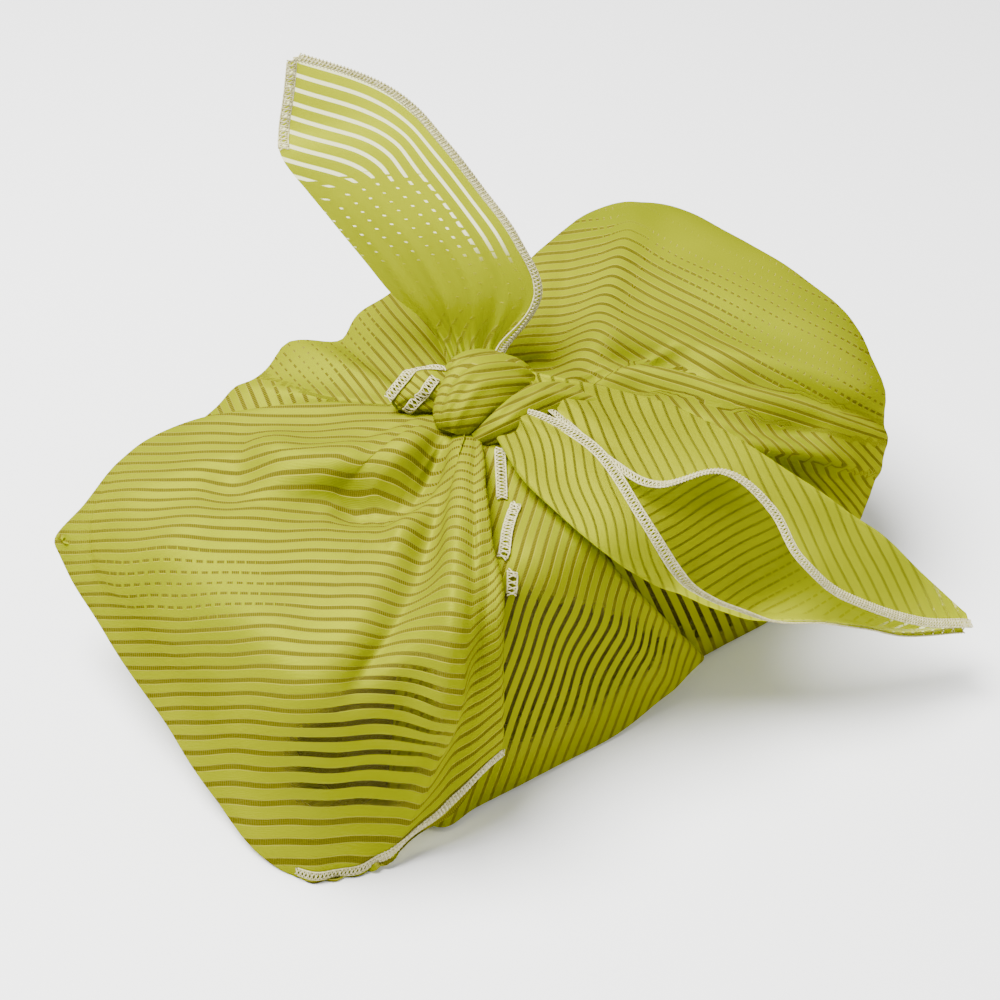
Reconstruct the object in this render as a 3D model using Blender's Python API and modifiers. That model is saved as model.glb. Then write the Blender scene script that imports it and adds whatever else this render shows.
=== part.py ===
"""Fabric gift wrap: a square of striped cloth folded round a box and tied on top.

The cloth is one solid.  It is made of lofted sheets that all run into the knot:
the closed wrap round the box, a front flap, a broad wing over the left end, and
the two tied ears.  The box inside is a plain solid of its own.
All tables are in millimetres, with X along the box, Y towards its back and Z up.
"""

import bpy
import bmesh
import numpy as np
from collections import namedtuple
from mathutils import Vector

MM = 0.001

# Driving dimensions, millimetres
CLOTH_THICK = 2.0
EAR_THICK = 1.4
BOX_LENGTH = 196.0
BOX_WIDTH = 98.0
BOX_HEIGHT = 64.0
BOX_EDGE = 3.0
BOX_CENTRE = (12.0, 3.0)
BOX_LIFT = CLOTH_THICK + 0.3

KNOT_X = -4.0
KNOT_Y = 2.0
NECK_HEIGHT = 90.0
NECK_RADIUS = 12.0
NECK_CORE_RADIUS = 8.0
NECK_CORE_RISE = 5.0
FLAP_NECK = (13.5, 94.0)
WING_NECK = (14.5, 97.0)
FOOT_HEIGHT = 6.0
FOOT_TURN = 6.0

# Where the control rows of a meridian lie, as shares of its two straight legs
NEAR_SHARE = 0.14
MID_SHARE = 0.45
TOP_SHARE = 0.86
SIDE_SHARE = 0.16
LOW_SHARE = 0.62
TOP_CROWN = 2.0

# How much of a section's swirl its neck, near, middle and top rows take
SWIRL_SHARES = (0.25, 0.5, 0.6, 0.15)

# Mesh density
WRAP_COLUMNS = 92
PROFILE_ROWS = 17
FLAP_COLUMNS = 16
WING_COLUMNS = 25
LAYER_ROWS = 14
EAR_ROWS = 15
EAR_ONE_ACROSS = 7
EAR_TWO_ACROSS = 15

# Closed wrap round the box: shoulder point, belly of the side, foot point, crown of
# the top and swirl near the knot in degrees, anticlockwise from the front left
Section = namedtuple("Section", "name sx sy sz belly fx fy rise turn")
WRAP_SECTIONS = (
    Section("front left", -86, -52, 74, 0, -86, -53, 0, 0),
    Section("front beside the flap", -50, -56, 75, 0, -50, -57, 0, 0),
    Section("front middle", 5, -58, 77, 0, 5, -59, 0, 10),
    Section("front right", 55, -59, 77, 1, 55, -60, 0, 34),
    Section("front right bay", 92, -62, 76, 3, 88, -60, 1, 40),
    Section("right corner", 122, -53, 79, 7, 112, -53, 0, 34),
    Section("right front", 137, -35, 83, 7, 124, -38, -1, 26),
    Section("right end", 144, -4, 87, 5, 128, -6, -2, 14),
    Section("right back", 142, 40, 88, 4, 127, 34, -2, 0),
    Section("back corner", 134, 72, 88, 3, 119, 60, -1, -9),
    Section("back corner top", 109, 84, 87, 2, 101, 69, 0, -13),
    Section("back right", 82, 79, 83, 2, 80, 68, 0, -11),
    Section("back notch", 58, 71, 79, 1, 58, 64, -2, -7),
    Section("back rise", 37, 73, 83, 3, 38, 64, 0, -3),
    Section("back bulge", 16, 76, 87, 5, 18, 64, 2, 6),
    Section("back bulge left", -8, 74, 88, 5, -6, 63, 2, 14),
    Section("back left", -48, 62, 81, 2, -46, 60, 0, 12),
    Section("back far left", -82, 58, 77, 1, -81, 58, 0, 6),
    Section("left corner", -100, 50, 74, 0, -97, 51, 0, 2),
    Section("left end", -102, 12, 74, 0, -100, 10, 0, 0),
    Section("left front", -100, -30, 73, 0, -99, -30, 0, 0),
)

# Open layers over the wrap: shoulder point, lower edge and crown, left to right
Layer = namedtuple("Layer", "name sx sy sz fx fy fz rise")
FLAP_SECTIONS = (
    Layer("tucked start", -66, -50, 72, -74, -50, 8, -3),
    Layer("under the wing", -56, -61, 77, -66, -66, 3, 0),
    Layer("lower hem", -42, -63, 79, -52, -66, 2, 0),
    Layer("middle", -29, -64, 80, -32, -67, 2, 0),
    Layer("hem right", -17, -65, 81, 4, -68, 2, 0),
    Layer("turned edge", -8, -67, 81, 38, -67, 12, 0),
)
WING_SECTIONS = (
    Layer("top roll", -92, 60, 81, -120, 70, 46, 6),
    Layer("left upper", -112, 36, 78, -119, 42, 34, 3),
    Layer("left middle", -113, 8, 77, -118, 8, 19, 1),
    Layer("left lower", -111, -18, 76, -117, -20, 8, 0),
    Layer("left corner", -106, -44, 75, -115, -42, 3, 0),
    Layer("hem corner", -92, -60, 76, -107, -58, 2, 1),
    Layer("hem middle", -74, -65, 77, -92, -65, 2, 2),
    Layer("hem right", -60, -68, 80, -80, -69, 9, 3),
    Layer("front edge", -46, -71, 83, -46, -73, 29, 5),
)

# Folds that run out from the knot: direction in degrees about the knot at its near
# and far end, half width and height, and the share of the profile they cover
Fold = namedtuple("Fold", "name near far width height start end")
WRAP_FOLDS = (
    Fold("upper right roll", 6, -40, 9, 6, 0.22, 0.76),
    Fold("dark valley", -2, -48, 8, -4, 0.22, 0.72),
    Fold("lower right roll", -12, -56, 9, 5, 0.22, 0.76),
    Fold("lower right valley", -30, -64, 8, -3, 0.36, 0.80),
    Fold("pillow crest", 10, 29, 9, 5, 0.25, 0.74),
    Fold("valley left of the crest", 24, 39, 8, -4, 0.28, 0.74),
    Fold("back shaded valley", 109, 90, 9, -5, 0.22, 0.76),
    Fold("back left ridge", 122, 107, 9, 4, 0.22, 0.76),
    Fold("back ridge", 70, 72, 10, 4, 0.25, 0.80),
)
WING_FOLDS = (
    Fold("valley by the knot", -172, -156, 7, -4, 0.14, 0.48),
    Fold("front column", -145, -128, 8, 4, 0.14, 0.80),
    Fold("side ridge", 176, 172, 12, 3, 0.25, 0.70),
)

# The standing ear, from the knot to its corner: left edge, right edge and bulge
EarOneRow = namedtuple("EarOneRow", "lx ly lz rx ry rz bulge")
EAR_ONE_ROWS = (
    EarOneRow(-6, 8, 96, 5, 3, 96, 0),
    EarOneRow(1, 30, 101, 17, 13, 100, 3),
    EarOneRow(-8, 41, 115, 31, 14, 113, 5),
    EarOneRow(-18, 47, 134, 30, 24, 128, 5),
    EarOneRow(-27, 53, 151, 25, 36, 142, 4),
    EarOneRow(-32, 58, 162, 18, 45, 156, 4),
    EarOneRow(-30, 62, 168, 12, 52, 167, 3),
    EarOneRow(-27, 63, 177, 1, 58, 177, 2),
    EarOneRow(-24, 64, 187, -19, 64, 188, 0),
)

# The folded ear, from the knot to its corner: the upper lip's hem, the top fold,
# the bottom fold and the lower lip's hem, with the depth of the hollow between
EarTwoRow = namedtuple(
    "EarTwoRow", "ux uy uz tx ty tz bx by bz hx hy hz depth"
)
EAR_TWO_ROWS = (
    EarTwoRow(5, -5, 102, 13, -3, 101, -5, -4, 93, -3, -9, 99, 3),
    EarTwoRow(9, -19, 98, 20, -14, 101, -9, -18, 95, 4, -23, 102, 3),
    EarTwoRow(12, -46, 93, 36, -25, 96, -13, -39, 93, 10, -43, 99, 3),
    EarTwoRow(17, -60, 92, 50, -45, 92, -9, -66, 87, 8, -67, 91, 4),
    EarTwoRow(38, -65, 90, 58, -63, 86, 8, -72, 69, 13, -77, 76, 5),
    EarTwoRow(47, -78, 80, 69, -77, 75, 22, -74, 57, 22, -81, 63, 6),
    EarTwoRow(48, -91, 69, 82, -84, 63, 40, -81, 43, 40, -88, 48, 6),
    EarTwoRow(60, -99, 54, 93, -93, 51, 60, -92, 39, 58, -98, 43, 5),
    EarTwoRow(86, -109, 35, 102, -102, 38, 86, -103, 27, 84, -107, 30, 3),
    EarTwoRow(107, -116, 27, 110, -111, 28, 109, -111, 22, 106, -114, 23, 1),
)

# Gathered bands of the knot: centre line points with their radius
BandPoint = namedtuple("BandPoint", "x y z radius")
KNOT_BANDS = {
    "main_band": (
        BandPoint(-16, -7, 92, 5),
        BandPoint(-12, -5, 97, 9),
        BandPoint(-3, -1, 98, 11),
        BandPoint(6, -2, 98, 9.5),
        BandPoint(13, -5, 96, 6),
    ),
    "left_lobe": (
        BandPoint(-8, 5, 96, 7),
        BandPoint(-16, 10, 98, 7),
        BandPoint(-22, 12, 98, 5.5),
        BandPoint(-25, 12, 97, 3.5),
    ),
    "lower_band": (
        BandPoint(-12, -12, 94, 3.5),
        BandPoint(-5, -15, 97, 5),
        BandPoint(5, -13, 100, 5.5),
        BandPoint(13, -7, 101, 4.5),
    ),
    "back_band": (
        BandPoint(-6, 8, 92, 6),
        BandPoint(2, 12, 96, 7),
        BandPoint(10, 8, 96, 5),
    ),
}

# Columns and rows of the closed wrap left open under the wing, where one layer
# of cloth alone covers the box
WRAP_GAP_COLUMNS = (1, 5)
WRAP_GAP_ROWS = (10, 15)

CLOTH_COLOUR = (0.52, 0.53, 0.03, 1.0)
CLOTH_ROUGHNESS = 0.55
BOX_COLOUR = (0.07, 0.045, 0.025, 1.0)
BOX_ROUGHNESS = 0.8


def clear_scene():
    """Remove every object that the start-up file brings."""
    for item in list(bpy.data.objects):
        bpy.data.objects.remove(item, do_unlink=True)


def new_collection(name):
    """Add a collection to the scene."""
    group = bpy.data.collections.new(name)
    bpy.context.scene.collection.children.link(group)
    return group


def principled(name, colour, roughness):
    """Plain material for one node."""
    material = bpy.data.materials.new(name)
    material.use_nodes = True
    shader = material.node_tree.nodes["Principled BSDF"]
    shader.inputs["Base Color"].default_value = colour
    shader.inputs["Roughness"].default_value = roughness
    material.diffuse_color = colour
    return material


def spline(points, samples, closed=False):
    """Smooth curve through points, read at positions counted in points."""
    points = np.asarray(points, float)
    base = np.floor(samples).astype(int)
    if closed:
        share = samples - base
        before, start, stop, after = (
            points[(base + step) % len(points)] for step in (-1, 0, 1, 2)
        )
    else:
        first = 2.0 * points[0] - points[1]
        last = 2.0 * points[-1] - points[-2]
        longer = np.concatenate([[first], points, [last]])
        base = np.clip(base, 0, len(points) - 2)
        share = samples - base
        before, start, stop, after = (longer[base + step] for step in range(4))
    share = share.reshape(share.shape + (1,) * (points.ndim - 1))
    linear = stop - before
    square = 2.0 * before - 5.0 * start + 4.0 * stop - after
    cube = 3.0 * start - before - 3.0 * stop + after
    return 0.5 * (2.0 * start + linear * share + square * share**2 + cube * share**3)


def loft(cage, columns, rows, closed=False):
    """Dense grid of points through a cage of control points."""
    cage = np.asarray(cage, float)
    if closed:
        across = np.linspace(0, len(cage), columns, endpoint=False)
    else:
        across = np.linspace(0, len(cage) - 1, columns)
    wide = spline(cage, across, closed)
    down = np.linspace(0, cage.shape[1] - 1, rows)
    return np.swapaxes(spline(np.swapaxes(wide, 0, 1), down), 0, 1)


def swirled(point, degrees):
    """Point turned about the upright line through the knot."""
    angle = np.radians(degrees)
    east = point[0] - KNOT_X
    north = point[1] - KNOT_Y
    return np.array(
        [
            KNOT_X + east * np.cos(angle) - north * np.sin(angle),
            KNOT_Y + east * np.sin(angle) + north * np.cos(angle),
            point[2],
        ]
    )


def meridian(shoulder, foot, rise, belly, neck_radius, neck_height, turn=0.0):
    """Control points from inside the knot over the shoulder to the foot."""
    knot = np.array([KNOT_X, KNOT_Y, 0.0])
    out = (shoulder - knot) * (1.0, 1.0, 0.0)
    out /= np.linalg.norm(out)
    up = np.array([0.0, 0.0, 1.0])
    neck = knot + out * neck_radius + up * neck_height
    core = knot + out * NECK_CORE_RADIUS + up * (neck_height + NECK_CORE_RISE)
    near = neck + (shoulder - neck) * NEAR_SHARE
    middle = neck + (shoulder - neck) * MID_SHARE + up * rise
    top = neck + (shoulder - neck) * TOP_SHARE + up * (TOP_CROWN + 0.4 * rise)
    side = shoulder + (foot - shoulder) * SIDE_SHARE + out * 0.5
    low = shoulder + (foot - shoulder) * LOW_SHARE + out * belly
    upper = [
        swirled(point, turn * share)
        for point, share in zip((neck, near, middle, top), SWIRL_SHARES)
    ]
    return [core, *upper, side, low, foot], out


def wrap_cage():
    """Control points of the closed wrap, one list for each section."""
    cage = []
    for row in WRAP_SECTIONS:
        shoulder = np.array([row.sx, row.sy, row.sz], float)
        foot = np.array([row.fx, row.fy, FOOT_HEIGHT], float)
        points, out = meridian(
            shoulder, foot, row.rise, row.belly, NECK_RADIUS, NECK_HEIGHT, row.turn
        )
        points.append(foot - out * FOOT_TURN - np.array([0.0, 0.0, FOOT_HEIGHT]))
        cage.append(points)
    return cage


def layer_cage(sections, neck):
    """Control points of an open layer, one list for each section."""
    cage = []
    for row in sections:
        shoulder = np.array([row.sx, row.sy, row.sz], float)
        foot = np.array([row.fx, row.fy, row.fz], float)
        points, _ = meridian(shoulder, foot, row.rise, 0.0, neck[0], neck[1])
        cage.append(points)
    return cage


def grid_normals(grid):
    """Unit normals of a grid, outward for columns that run anticlockwise."""
    down = np.gradient(grid, axis=1)
    across = np.gradient(grid, axis=0)
    normal = np.cross(down, across)
    length = np.linalg.norm(normal, axis=2, keepdims=True)
    return normal / np.maximum(length, 1e-9)


def fold_grid(grid, folds, reverse=False):
    """Raise or sink the folds of a table along a grid's normals."""
    normal = grid_normals(grid)
    if reverse:
        normal = -normal
    level = np.linspace(0.0, 1.0, grid.shape[1])[None, :]
    east = grid[..., 0] - KNOT_X
    north = grid[..., 1] - KNOT_Y
    reach = np.hypot(east, north)
    angle = np.arctan2(north, east)
    lift = np.zeros(grid.shape[:2])
    for fold in folds:
        part = np.clip((level - fold.start) / (fold.end - fold.start), 0.0, 1.0)
        line = np.radians(fold.near + (fold.far - fold.near) * part)
        apart = np.angle(np.exp(1j * (angle - line)))
        width = fold.width * (0.6 + 0.4 * part)
        fade = np.sin(np.pi * part)
        lift += fold.height * fade * np.exp(-((apart * reach / width) ** 2))
    return grid + normal * lift[..., None]


def ear_one_cage():
    """Control points of the standing ear, a row across at each section."""
    cage = []
    shares = np.linspace(0.0, 1.0, 5)
    for row in EAR_ONE_ROWS:
        left = np.array([row.lx, row.ly, row.lz], float)
        right = np.array([row.rx, row.ry, row.rz], float)
        facing = np.cross(right - left, (0.0, 0.6, 0.8))
        facing /= np.linalg.norm(facing)
        bow = (4.0 * shares * (1.0 - shares) * row.bulge)[:, None]
        cage.append(left + (right - left) * shares[:, None] + facing * bow)
    return cage


def ear_two_cage():
    """Control points of the folded ear, round each section from lip to lip."""
    cage = []
    behind = np.array([0.35, 0.5, -0.55])
    for row in EAR_TWO_ROWS:
        upper = np.array([row.ux, row.uy, row.uz], float)
        top = np.array([row.tx, row.ty, row.tz], float)
        bottom = np.array([row.bx, row.by, row.bz], float)
        hem = np.array([row.hx, row.hy, row.hz], float)
        back = behind * row.depth
        cage.append(
            [
                upper,
                0.45 * upper + 0.55 * top - 0.2 * back,
                top,
                (2.0 * top + bottom) / 3.0 + back,
                (top + 2.0 * bottom) / 3.0 + back,
                bottom,
                0.5 * (bottom + hem) - 0.3 * back,
                hem,
            ]
        )
    return cage


def grid_object(name, grid, group, closed=False, floor=False, gap=None, flip=False):
    """Mesh object from a grid; gap leaves a range of columns and rows open."""
    columns, rows = grid.shape[:2]
    mesh = bmesh.new()
    points = [[mesh.verts.new(point * MM) for point in line] for line in grid]
    span = columns if closed else columns - 1
    for column in range(span):
        for row in range(rows - 1):
            if gap and gap[0][0] <= column < gap[0][1] and gap[1][0] <= row < gap[1][1]:
                continue
            after = (column + 1) % columns
            corners = [
                points[column][row],
                points[column][row + 1],
                points[after][row + 1],
                points[after][row],
            ]
            if flip:
                corners.reverse()
            mesh.faces.new(corners)
    if floor:
        mesh.faces.new([line[-1] for line in reversed(points)])
    data = bpy.data.meshes.new(name)
    mesh.to_mesh(data)
    mesh.free()
    item = bpy.data.objects.new(name, data)
    group.objects.link(item)
    return item


def thicken(item, thickness, offset):
    """Give an open sheet its cloth thickness."""
    shell = item.modifiers.new("thickness", "SOLIDIFY")
    shell.thickness = thickness * MM
    shell.offset = offset
    shell.use_even_offset = False
    shell.use_quality_normals = True


def band_object(name, band, group):
    """Gathered band of the knot, a tube of changing radius as a closed mesh."""
    curve = bpy.data.curves.new(name, "CURVE")
    curve.dimensions = "3D"
    curve.bevel_depth = MM
    curve.bevel_resolution = 2
    curve.use_fill_caps = True
    line = np.array(band, float)
    smooth = spline(line, np.linspace(0, len(line) - 1, 3 * len(line) - 2))
    path = curve.splines.new("POLY")
    path.points.add(len(smooth) - 1)
    for knob, (x, y, z, radius) in zip(path.points, smooth):
        knob.co = (x * MM, y * MM, z * MM, 1.0)
        knob.radius = radius
    rough = bpy.data.objects.new(name + "_path", curve)
    group.objects.link(rough)
    reading = bpy.context.evaluated_depsgraph_get()
    data = bpy.data.meshes.new_from_object(rough.evaluated_get(reading))
    bpy.data.objects.remove(rough, do_unlink=True)
    work = bmesh.new()
    work.from_mesh(data)
    bmesh.ops.remove_doubles(work, verts=work.verts, dist=0.0001)
    bmesh.ops.recalc_face_normals(work, faces=work.faces)
    work.to_mesh(data)
    work.free()
    item = bpy.data.objects.new(name, data)
    group.objects.link(item)
    return item


def make_box(group, material):
    """Plain box that the cloth is folded round."""
    mesh = bmesh.new()
    bmesh.ops.create_cube(mesh, size=1.0)
    size = Vector((BOX_LENGTH, BOX_WIDTH, BOX_HEIGHT)) * MM
    bmesh.ops.scale(mesh, vec=size, verts=mesh.verts)
    data = bpy.data.meshes.new("gift_box")
    mesh.to_mesh(data)
    mesh.free()
    item = bpy.data.objects.new("gift_box", data)
    centre = (BOX_CENTRE[0], BOX_CENTRE[1], BOX_LIFT + 0.5 * BOX_HEIGHT)
    item.location = Vector(centre) * MM
    edge = item.modifiers.new("edges", "BEVEL")
    edge.width = BOX_EDGE * MM
    edge.segments = 2
    item.data.materials.append(material)
    group.objects.link(item)
    return item


def make_cloth(group, guides, material):
    """The whole cloth: wrap, flap, wing, ears and knot joined into one solid."""
    wrap = fold_grid(
        loft(wrap_cage(), WRAP_COLUMNS, PROFILE_ROWS, closed=True), WRAP_FOLDS
    )
    wrap[..., 2] = np.maximum(wrap[..., 2], 0.0)
    gap = (WRAP_GAP_COLUMNS, WRAP_GAP_ROWS)
    cloth = grid_object("wrap_cloth", wrap, group, closed=True, floor=True, gap=gap)
    thicken(cloth, CLOTH_THICK, -1.0)
    cloth.data.materials.append(material)

    pieces = []
    flap = loft(layer_cage(FLAP_SECTIONS, FLAP_NECK), FLAP_COLUMNS, LAYER_ROWS)
    pieces.append(grid_object("front_flap", flap, guides))
    wing = loft(layer_cage(WING_SECTIONS, WING_NECK), WING_COLUMNS, LAYER_ROWS)
    pieces.append(grid_object("left_wing", fold_grid(wing, WING_FOLDS), guides))
    for piece in pieces:
        thicken(piece, CLOTH_THICK, -1.0)
    ear = grid_object(
        "standing_ear", loft(ear_one_cage(), EAR_ROWS, EAR_ONE_ACROSS), guides
    )
    thicken(ear, EAR_THICK, 0.0)
    pieces.append(ear)
    ear = grid_object(
        "folded_ear", loft(ear_two_cage(), EAR_ROWS, EAR_TWO_ACROSS), guides
    )
    thicken(ear, EAR_THICK, 0.0)
    pieces.append(ear)
    for name, band in KNOT_BANDS.items():
        pieces.append(band_object(name, band, guides))

    for piece in pieces:
        piece.hide_render = True
        piece.display_type = "WIRE"
        join = cloth.modifiers.new("join " + piece.name, "BOOLEAN")
        join.operation = "UNION"
        join.solver = "EXACT"
        join.object = piece
    return cloth, pieces


def place_on_origin(root, items):
    """Move the whole part so that its box stands centred on the origin."""
    reading = bpy.context.evaluated_depsgraph_get()
    corners = []
    for item in items:
        shape = item.evaluated_get(reading)
        corners.extend(shape.matrix_world @ Vector(corner) for corner in shape.bound_box)
    low = [min(corner[axis] for corner in corners) for axis in range(3)]
    high = [max(corner[axis] for corner in corners) for axis in range(3)]
    root.location = (-0.5 * (low[0] + high[0]), -0.5 * (low[1] + high[1]), -low[2])


def main():
    """Build the part."""
    clear_scene()
    parts = new_collection("fabric_gift_wrap")
    guides = new_collection("joined_pieces")
    cloth_finish = principled("striped_cloth", CLOTH_COLOUR, CLOTH_ROUGHNESS)
    box_finish = principled("plain_board", BOX_COLOUR, BOX_ROUGHNESS)
    box = make_box(parts, box_finish)
    cloth, pieces = make_cloth(parts, guides, cloth_finish)
    root = bpy.data.objects.new("gift_wrap_origin", None)
    parts.objects.link(root)
    bpy.context.view_layer.update()
    place_on_origin(root, (cloth, box))
    for item in (cloth, box, *pieces):
        item.parent = root
    bpy.context.view_layer.update()


main()
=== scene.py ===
"""Looks of a fabric gift wrap: a sheer striped cloth folded round a box and tied on top.

The cloth is one mesh of grids that meet or overlap at the knot and aren't joined: the wrap
with its second ply and underside, the flap, the wing, the ears and the knot's bands.  Each
grid has its own coordinates along and across the stripes.  They are laid out for the
photograph's side, most of them from where a point is seen, so the stripes run there as the
photograph shows them and don't carry on from grid to grid.  The tables are in millimetres,
with X along the box, Y towards its back and Z up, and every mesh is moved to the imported
frame by one shift that is read from the box's node.
"""

import logging
import math
from dataclasses import dataclass, field, replace
from enum import Enum
from typing import NamedTuple, Optional, Sequence, Union

import bpy
import numpy as np
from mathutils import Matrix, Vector


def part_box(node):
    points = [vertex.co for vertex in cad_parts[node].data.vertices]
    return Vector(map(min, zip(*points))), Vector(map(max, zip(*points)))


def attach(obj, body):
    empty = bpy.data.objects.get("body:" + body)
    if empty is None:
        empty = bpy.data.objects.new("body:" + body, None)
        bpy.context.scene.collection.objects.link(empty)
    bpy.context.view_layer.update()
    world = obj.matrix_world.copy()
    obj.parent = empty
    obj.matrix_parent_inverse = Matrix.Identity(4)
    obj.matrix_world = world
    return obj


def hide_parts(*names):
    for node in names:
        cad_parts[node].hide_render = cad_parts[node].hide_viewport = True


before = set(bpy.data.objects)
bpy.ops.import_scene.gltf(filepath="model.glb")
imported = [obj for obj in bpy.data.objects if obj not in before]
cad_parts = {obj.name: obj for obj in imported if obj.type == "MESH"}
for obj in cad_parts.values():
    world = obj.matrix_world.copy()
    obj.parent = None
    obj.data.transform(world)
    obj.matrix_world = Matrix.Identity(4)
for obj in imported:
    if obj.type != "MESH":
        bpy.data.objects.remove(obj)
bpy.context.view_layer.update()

LOG = logging.getLogger("gift_wrap")
MM = 0.001
UV_UNIT = 100.0
CLOTH_NODE = "wrap_cloth"
BOX_NODE = "gift_box"
BODY = "root"

# The knot and the neck of cloth under it, as in the solids
KNOT_X = -4.0
KNOT_Y = 2.0
NECK_HEIGHT = 90.0
NECK_RADIUS = 12.0
NECK_CORE_RADIUS = 8.0
NECK_CORE_RISE = 5.0
FOOT_HEIGHT = 6.0
FOOT_TURN = 6.0
NEAR_SHARE = 0.14
MID_SHARE = 0.45
TOP_SHARE = 0.86
SIDE_SHARE = 0.16
LOW_SHARE = 0.62
TOP_CROWN = 2.0
SWIRL_SHARES = (0.25, 0.5, 0.6, 0.15)
BOX_DESIGN_CENTRE = (12.0, 3.0, 34.3)

# Where the wrap is left open under a sheer layer: share of the window, lowest height
OPEN_SHARE = 0.2
OPEN_HEIGHT = 3.0

# Least height of the wrap, share of a crease over which it fades at either end, share of
# the wing's rows at its lower edge, and sides of a thread
LOWEST = 0.3
CREASE_FADE = 0.22
WING_FOOT = 7.0 / 8.0
TUBE_SIDES = 5

# The side from which the photograph is taken, in degrees, and what it looks at
VIEW_AZIMUTH = -36.0
VIEW_ELEVATION = 42.0
VIEW_DISTANCE = 560.0
VIEW_TARGET = (0.0, 0.0, 40.0)
VIEW_LENS = 61.5
VIEW_SENSOR = 36.0
VIEW_SHIFT = (0.013, 0.032)


class Section(NamedTuple):
    """Meridian of the closed wrap: shoulder, belly, foot, crown and swirl at the knot."""

    name: str
    sx: float
    sy: float
    sz: float
    belly: float
    fx: float
    fy: float
    rise: float
    turn: float


class Layer(NamedTuple):
    """Meridian of an open layer: shoulder, lower edge, crown and tuck of the edge."""

    name: str
    sx: float
    sy: float
    sz: float
    fx: float
    fy: float
    fz: float
    rise: float
    tuck: float


class Fold(NamedTuple):
    """Fold that runs out from the knot between two directions in degrees."""

    name: str
    near: float
    far: float
    width: float
    height: float
    start: float
    end: float
    crisp: float


class Crease(NamedTuple):
    """Ridge or trough along a line as seen from the photograph's side."""

    name: str
    width: float
    height: float
    crisp: float
    line: tuple[tuple[float, float], ...]


class Spot(NamedTuple):
    """Oval of plainer weave as seen from the photograph's side."""

    name: str
    right: float
    down: float
    wide: float
    deep: float
    tilt: float
    amount: float


class Field(NamedTuple):
    """Stretch of cloth with one way of the stripes, on the right of a line's way.

    The stripes fall to the right by the tilt and meet those of the stretch before at the
    anchor.
    """

    name: str
    soft: float
    tilt: float
    scale: float
    right: float
    down: float
    line: tuple[tuple[float, float], ...]


class EarOneRow(NamedTuple):
    """Row across the standing ear: left edge, right edge and bulge."""

    lx: float
    ly: float
    lz: float
    rx: float
    ry: float
    rz: float
    bulge: float


class EarTwoRow(NamedTuple):
    """Row round the folded ear: upper lip, top fold, bottom fold, lower lip, hollow."""

    ux: float
    uy: float
    uz: float
    tx: float
    ty: float
    tz: float
    bx: float
    by: float
    bz: float
    hx: float
    hy: float
    hz: float
    depth: float


class BandPoint(NamedTuple):
    """Point on the centre line of a knot band with the band's radius."""

    x: float
    y: float
    z: float
    radius: float


WRAP_SECTIONS = (
    Section("front left", -86, -52, 74, 0, -86, -53, 0, 0),
    Section("front beside the flap", -50, -56, 75, 0, -50, -57, 0, 0),
    Section("front middle", 5, -58, 77, 0, 5, -59, 0, 10),
    Section("front right", 55, -59, 77, 1, 55, -60, 0, 34),
    Section("front right bay", 92, -62, 76, 3, 88, -60, 1, 40),
    Section("right corner", 122, -53, 79, 7, 112, -53, 0, 34),
    Section("right front", 137, -35, 83, 7, 124, -38, -1, 26),
    Section("right end", 144, -4, 87, 5, 128, -6, -2, 14),
    Section("right back", 142, 40, 88, 4, 127, 34, -2, 0),
    Section("back corner", 134, 72, 88, 3, 119, 60, -1, -9),
    Section("back corner top", 109, 84, 87, 2, 101, 69, 0, -13),
    Section("back right", 82, 79, 83, 2, 80, 68, 0, -11),
    Section("back notch", 58, 71, 79, 1, 58, 64, -2, -7),
    Section("back rise", 37, 73, 83, 3, 38, 64, 0, -3),
    Section("back bulge", 16, 76, 87, 5, 18, 64, 2, 6),
    Section("back bulge left", -8, 74, 88, 5, -6, 63, 2, 14),
    Section("back left", -48, 67, 85, 4, -46, 61, 1, 12),
    Section("back far left", -82, 61, 79, 2, -81, 58, 0, 6),
    Section("left corner", -100, 50, 74, 0, -97, 51, 0, 2),
    Section("left end", -102, 12, 74, 0, -100, 10, 0, 0),
    Section("left front", -100, -30, 73, 0, -99, -30, 0, 0),
)
FLAP_SECTIONS = (
    Layer("tucked start", -66, -50, 72, -74, -50, 8, -3, 0),
    Layer("under the wing", -56, -61, 77, -66, -66, 3, 0, 0),
    Layer("lower hem", -42, -63, 79, -52, -66, 2, 0, 0),
    Layer("middle", -29, -64, 80, -32, -67, 2, 0, 0),
    Layer("hem right", -17, -65, 81, 4, -68, 2, 0, 0),
    Layer("turned edge", -8, -67, 81, 38, -67, 12, 0, 0),
)
WING_SECTIONS = (
    Layer("top roll", -92, 60, 81, -120, 70, 46, 6, 14),
    Layer("left upper", -115, 40, 79, -120, 44, 34, 3, 14),
    Layer("left middle", -113, 8, 77, -118, 8, 19, 1, 14),
    Layer("left lower", -111, -18, 76, -117, -20, 8, 0, 12),
    Layer("left corner", -106, -44, 75, -115, -42, 3, 0, 6),
    Layer("hem corner", -92, -60, 76, -107, -58, 2, 1, 0),
    Layer("hem middle", -74, -65, 77, -92, -65, 2, 2, 0),
    Layer("hem right", -60, -68, 80, -80, -69, 9, 3, 0),
    Layer("front edge", -48, -71, 83, -47, -73, 29, 4, 0),
)
WRAP_FOLDS = (
    Fold("back shaded valley", 109, 90, 9, -5, 0.22, 0.76, 0.2),
    Fold("back left ridge", 122, 107, 9, 4, 0.22, 0.76, 0.3),
    Fold("back ridge", 70, 72, 10, 4, 0.25, 0.80, 0.2),
    Fold("thin fold behind the ear", 46, 44, 3, 2, 0.18, 0.62, 0.6),
    Fold("left back fold", 138, 128, 5, 2.5, 0.20, 0.66, 0.5),
)
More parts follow.
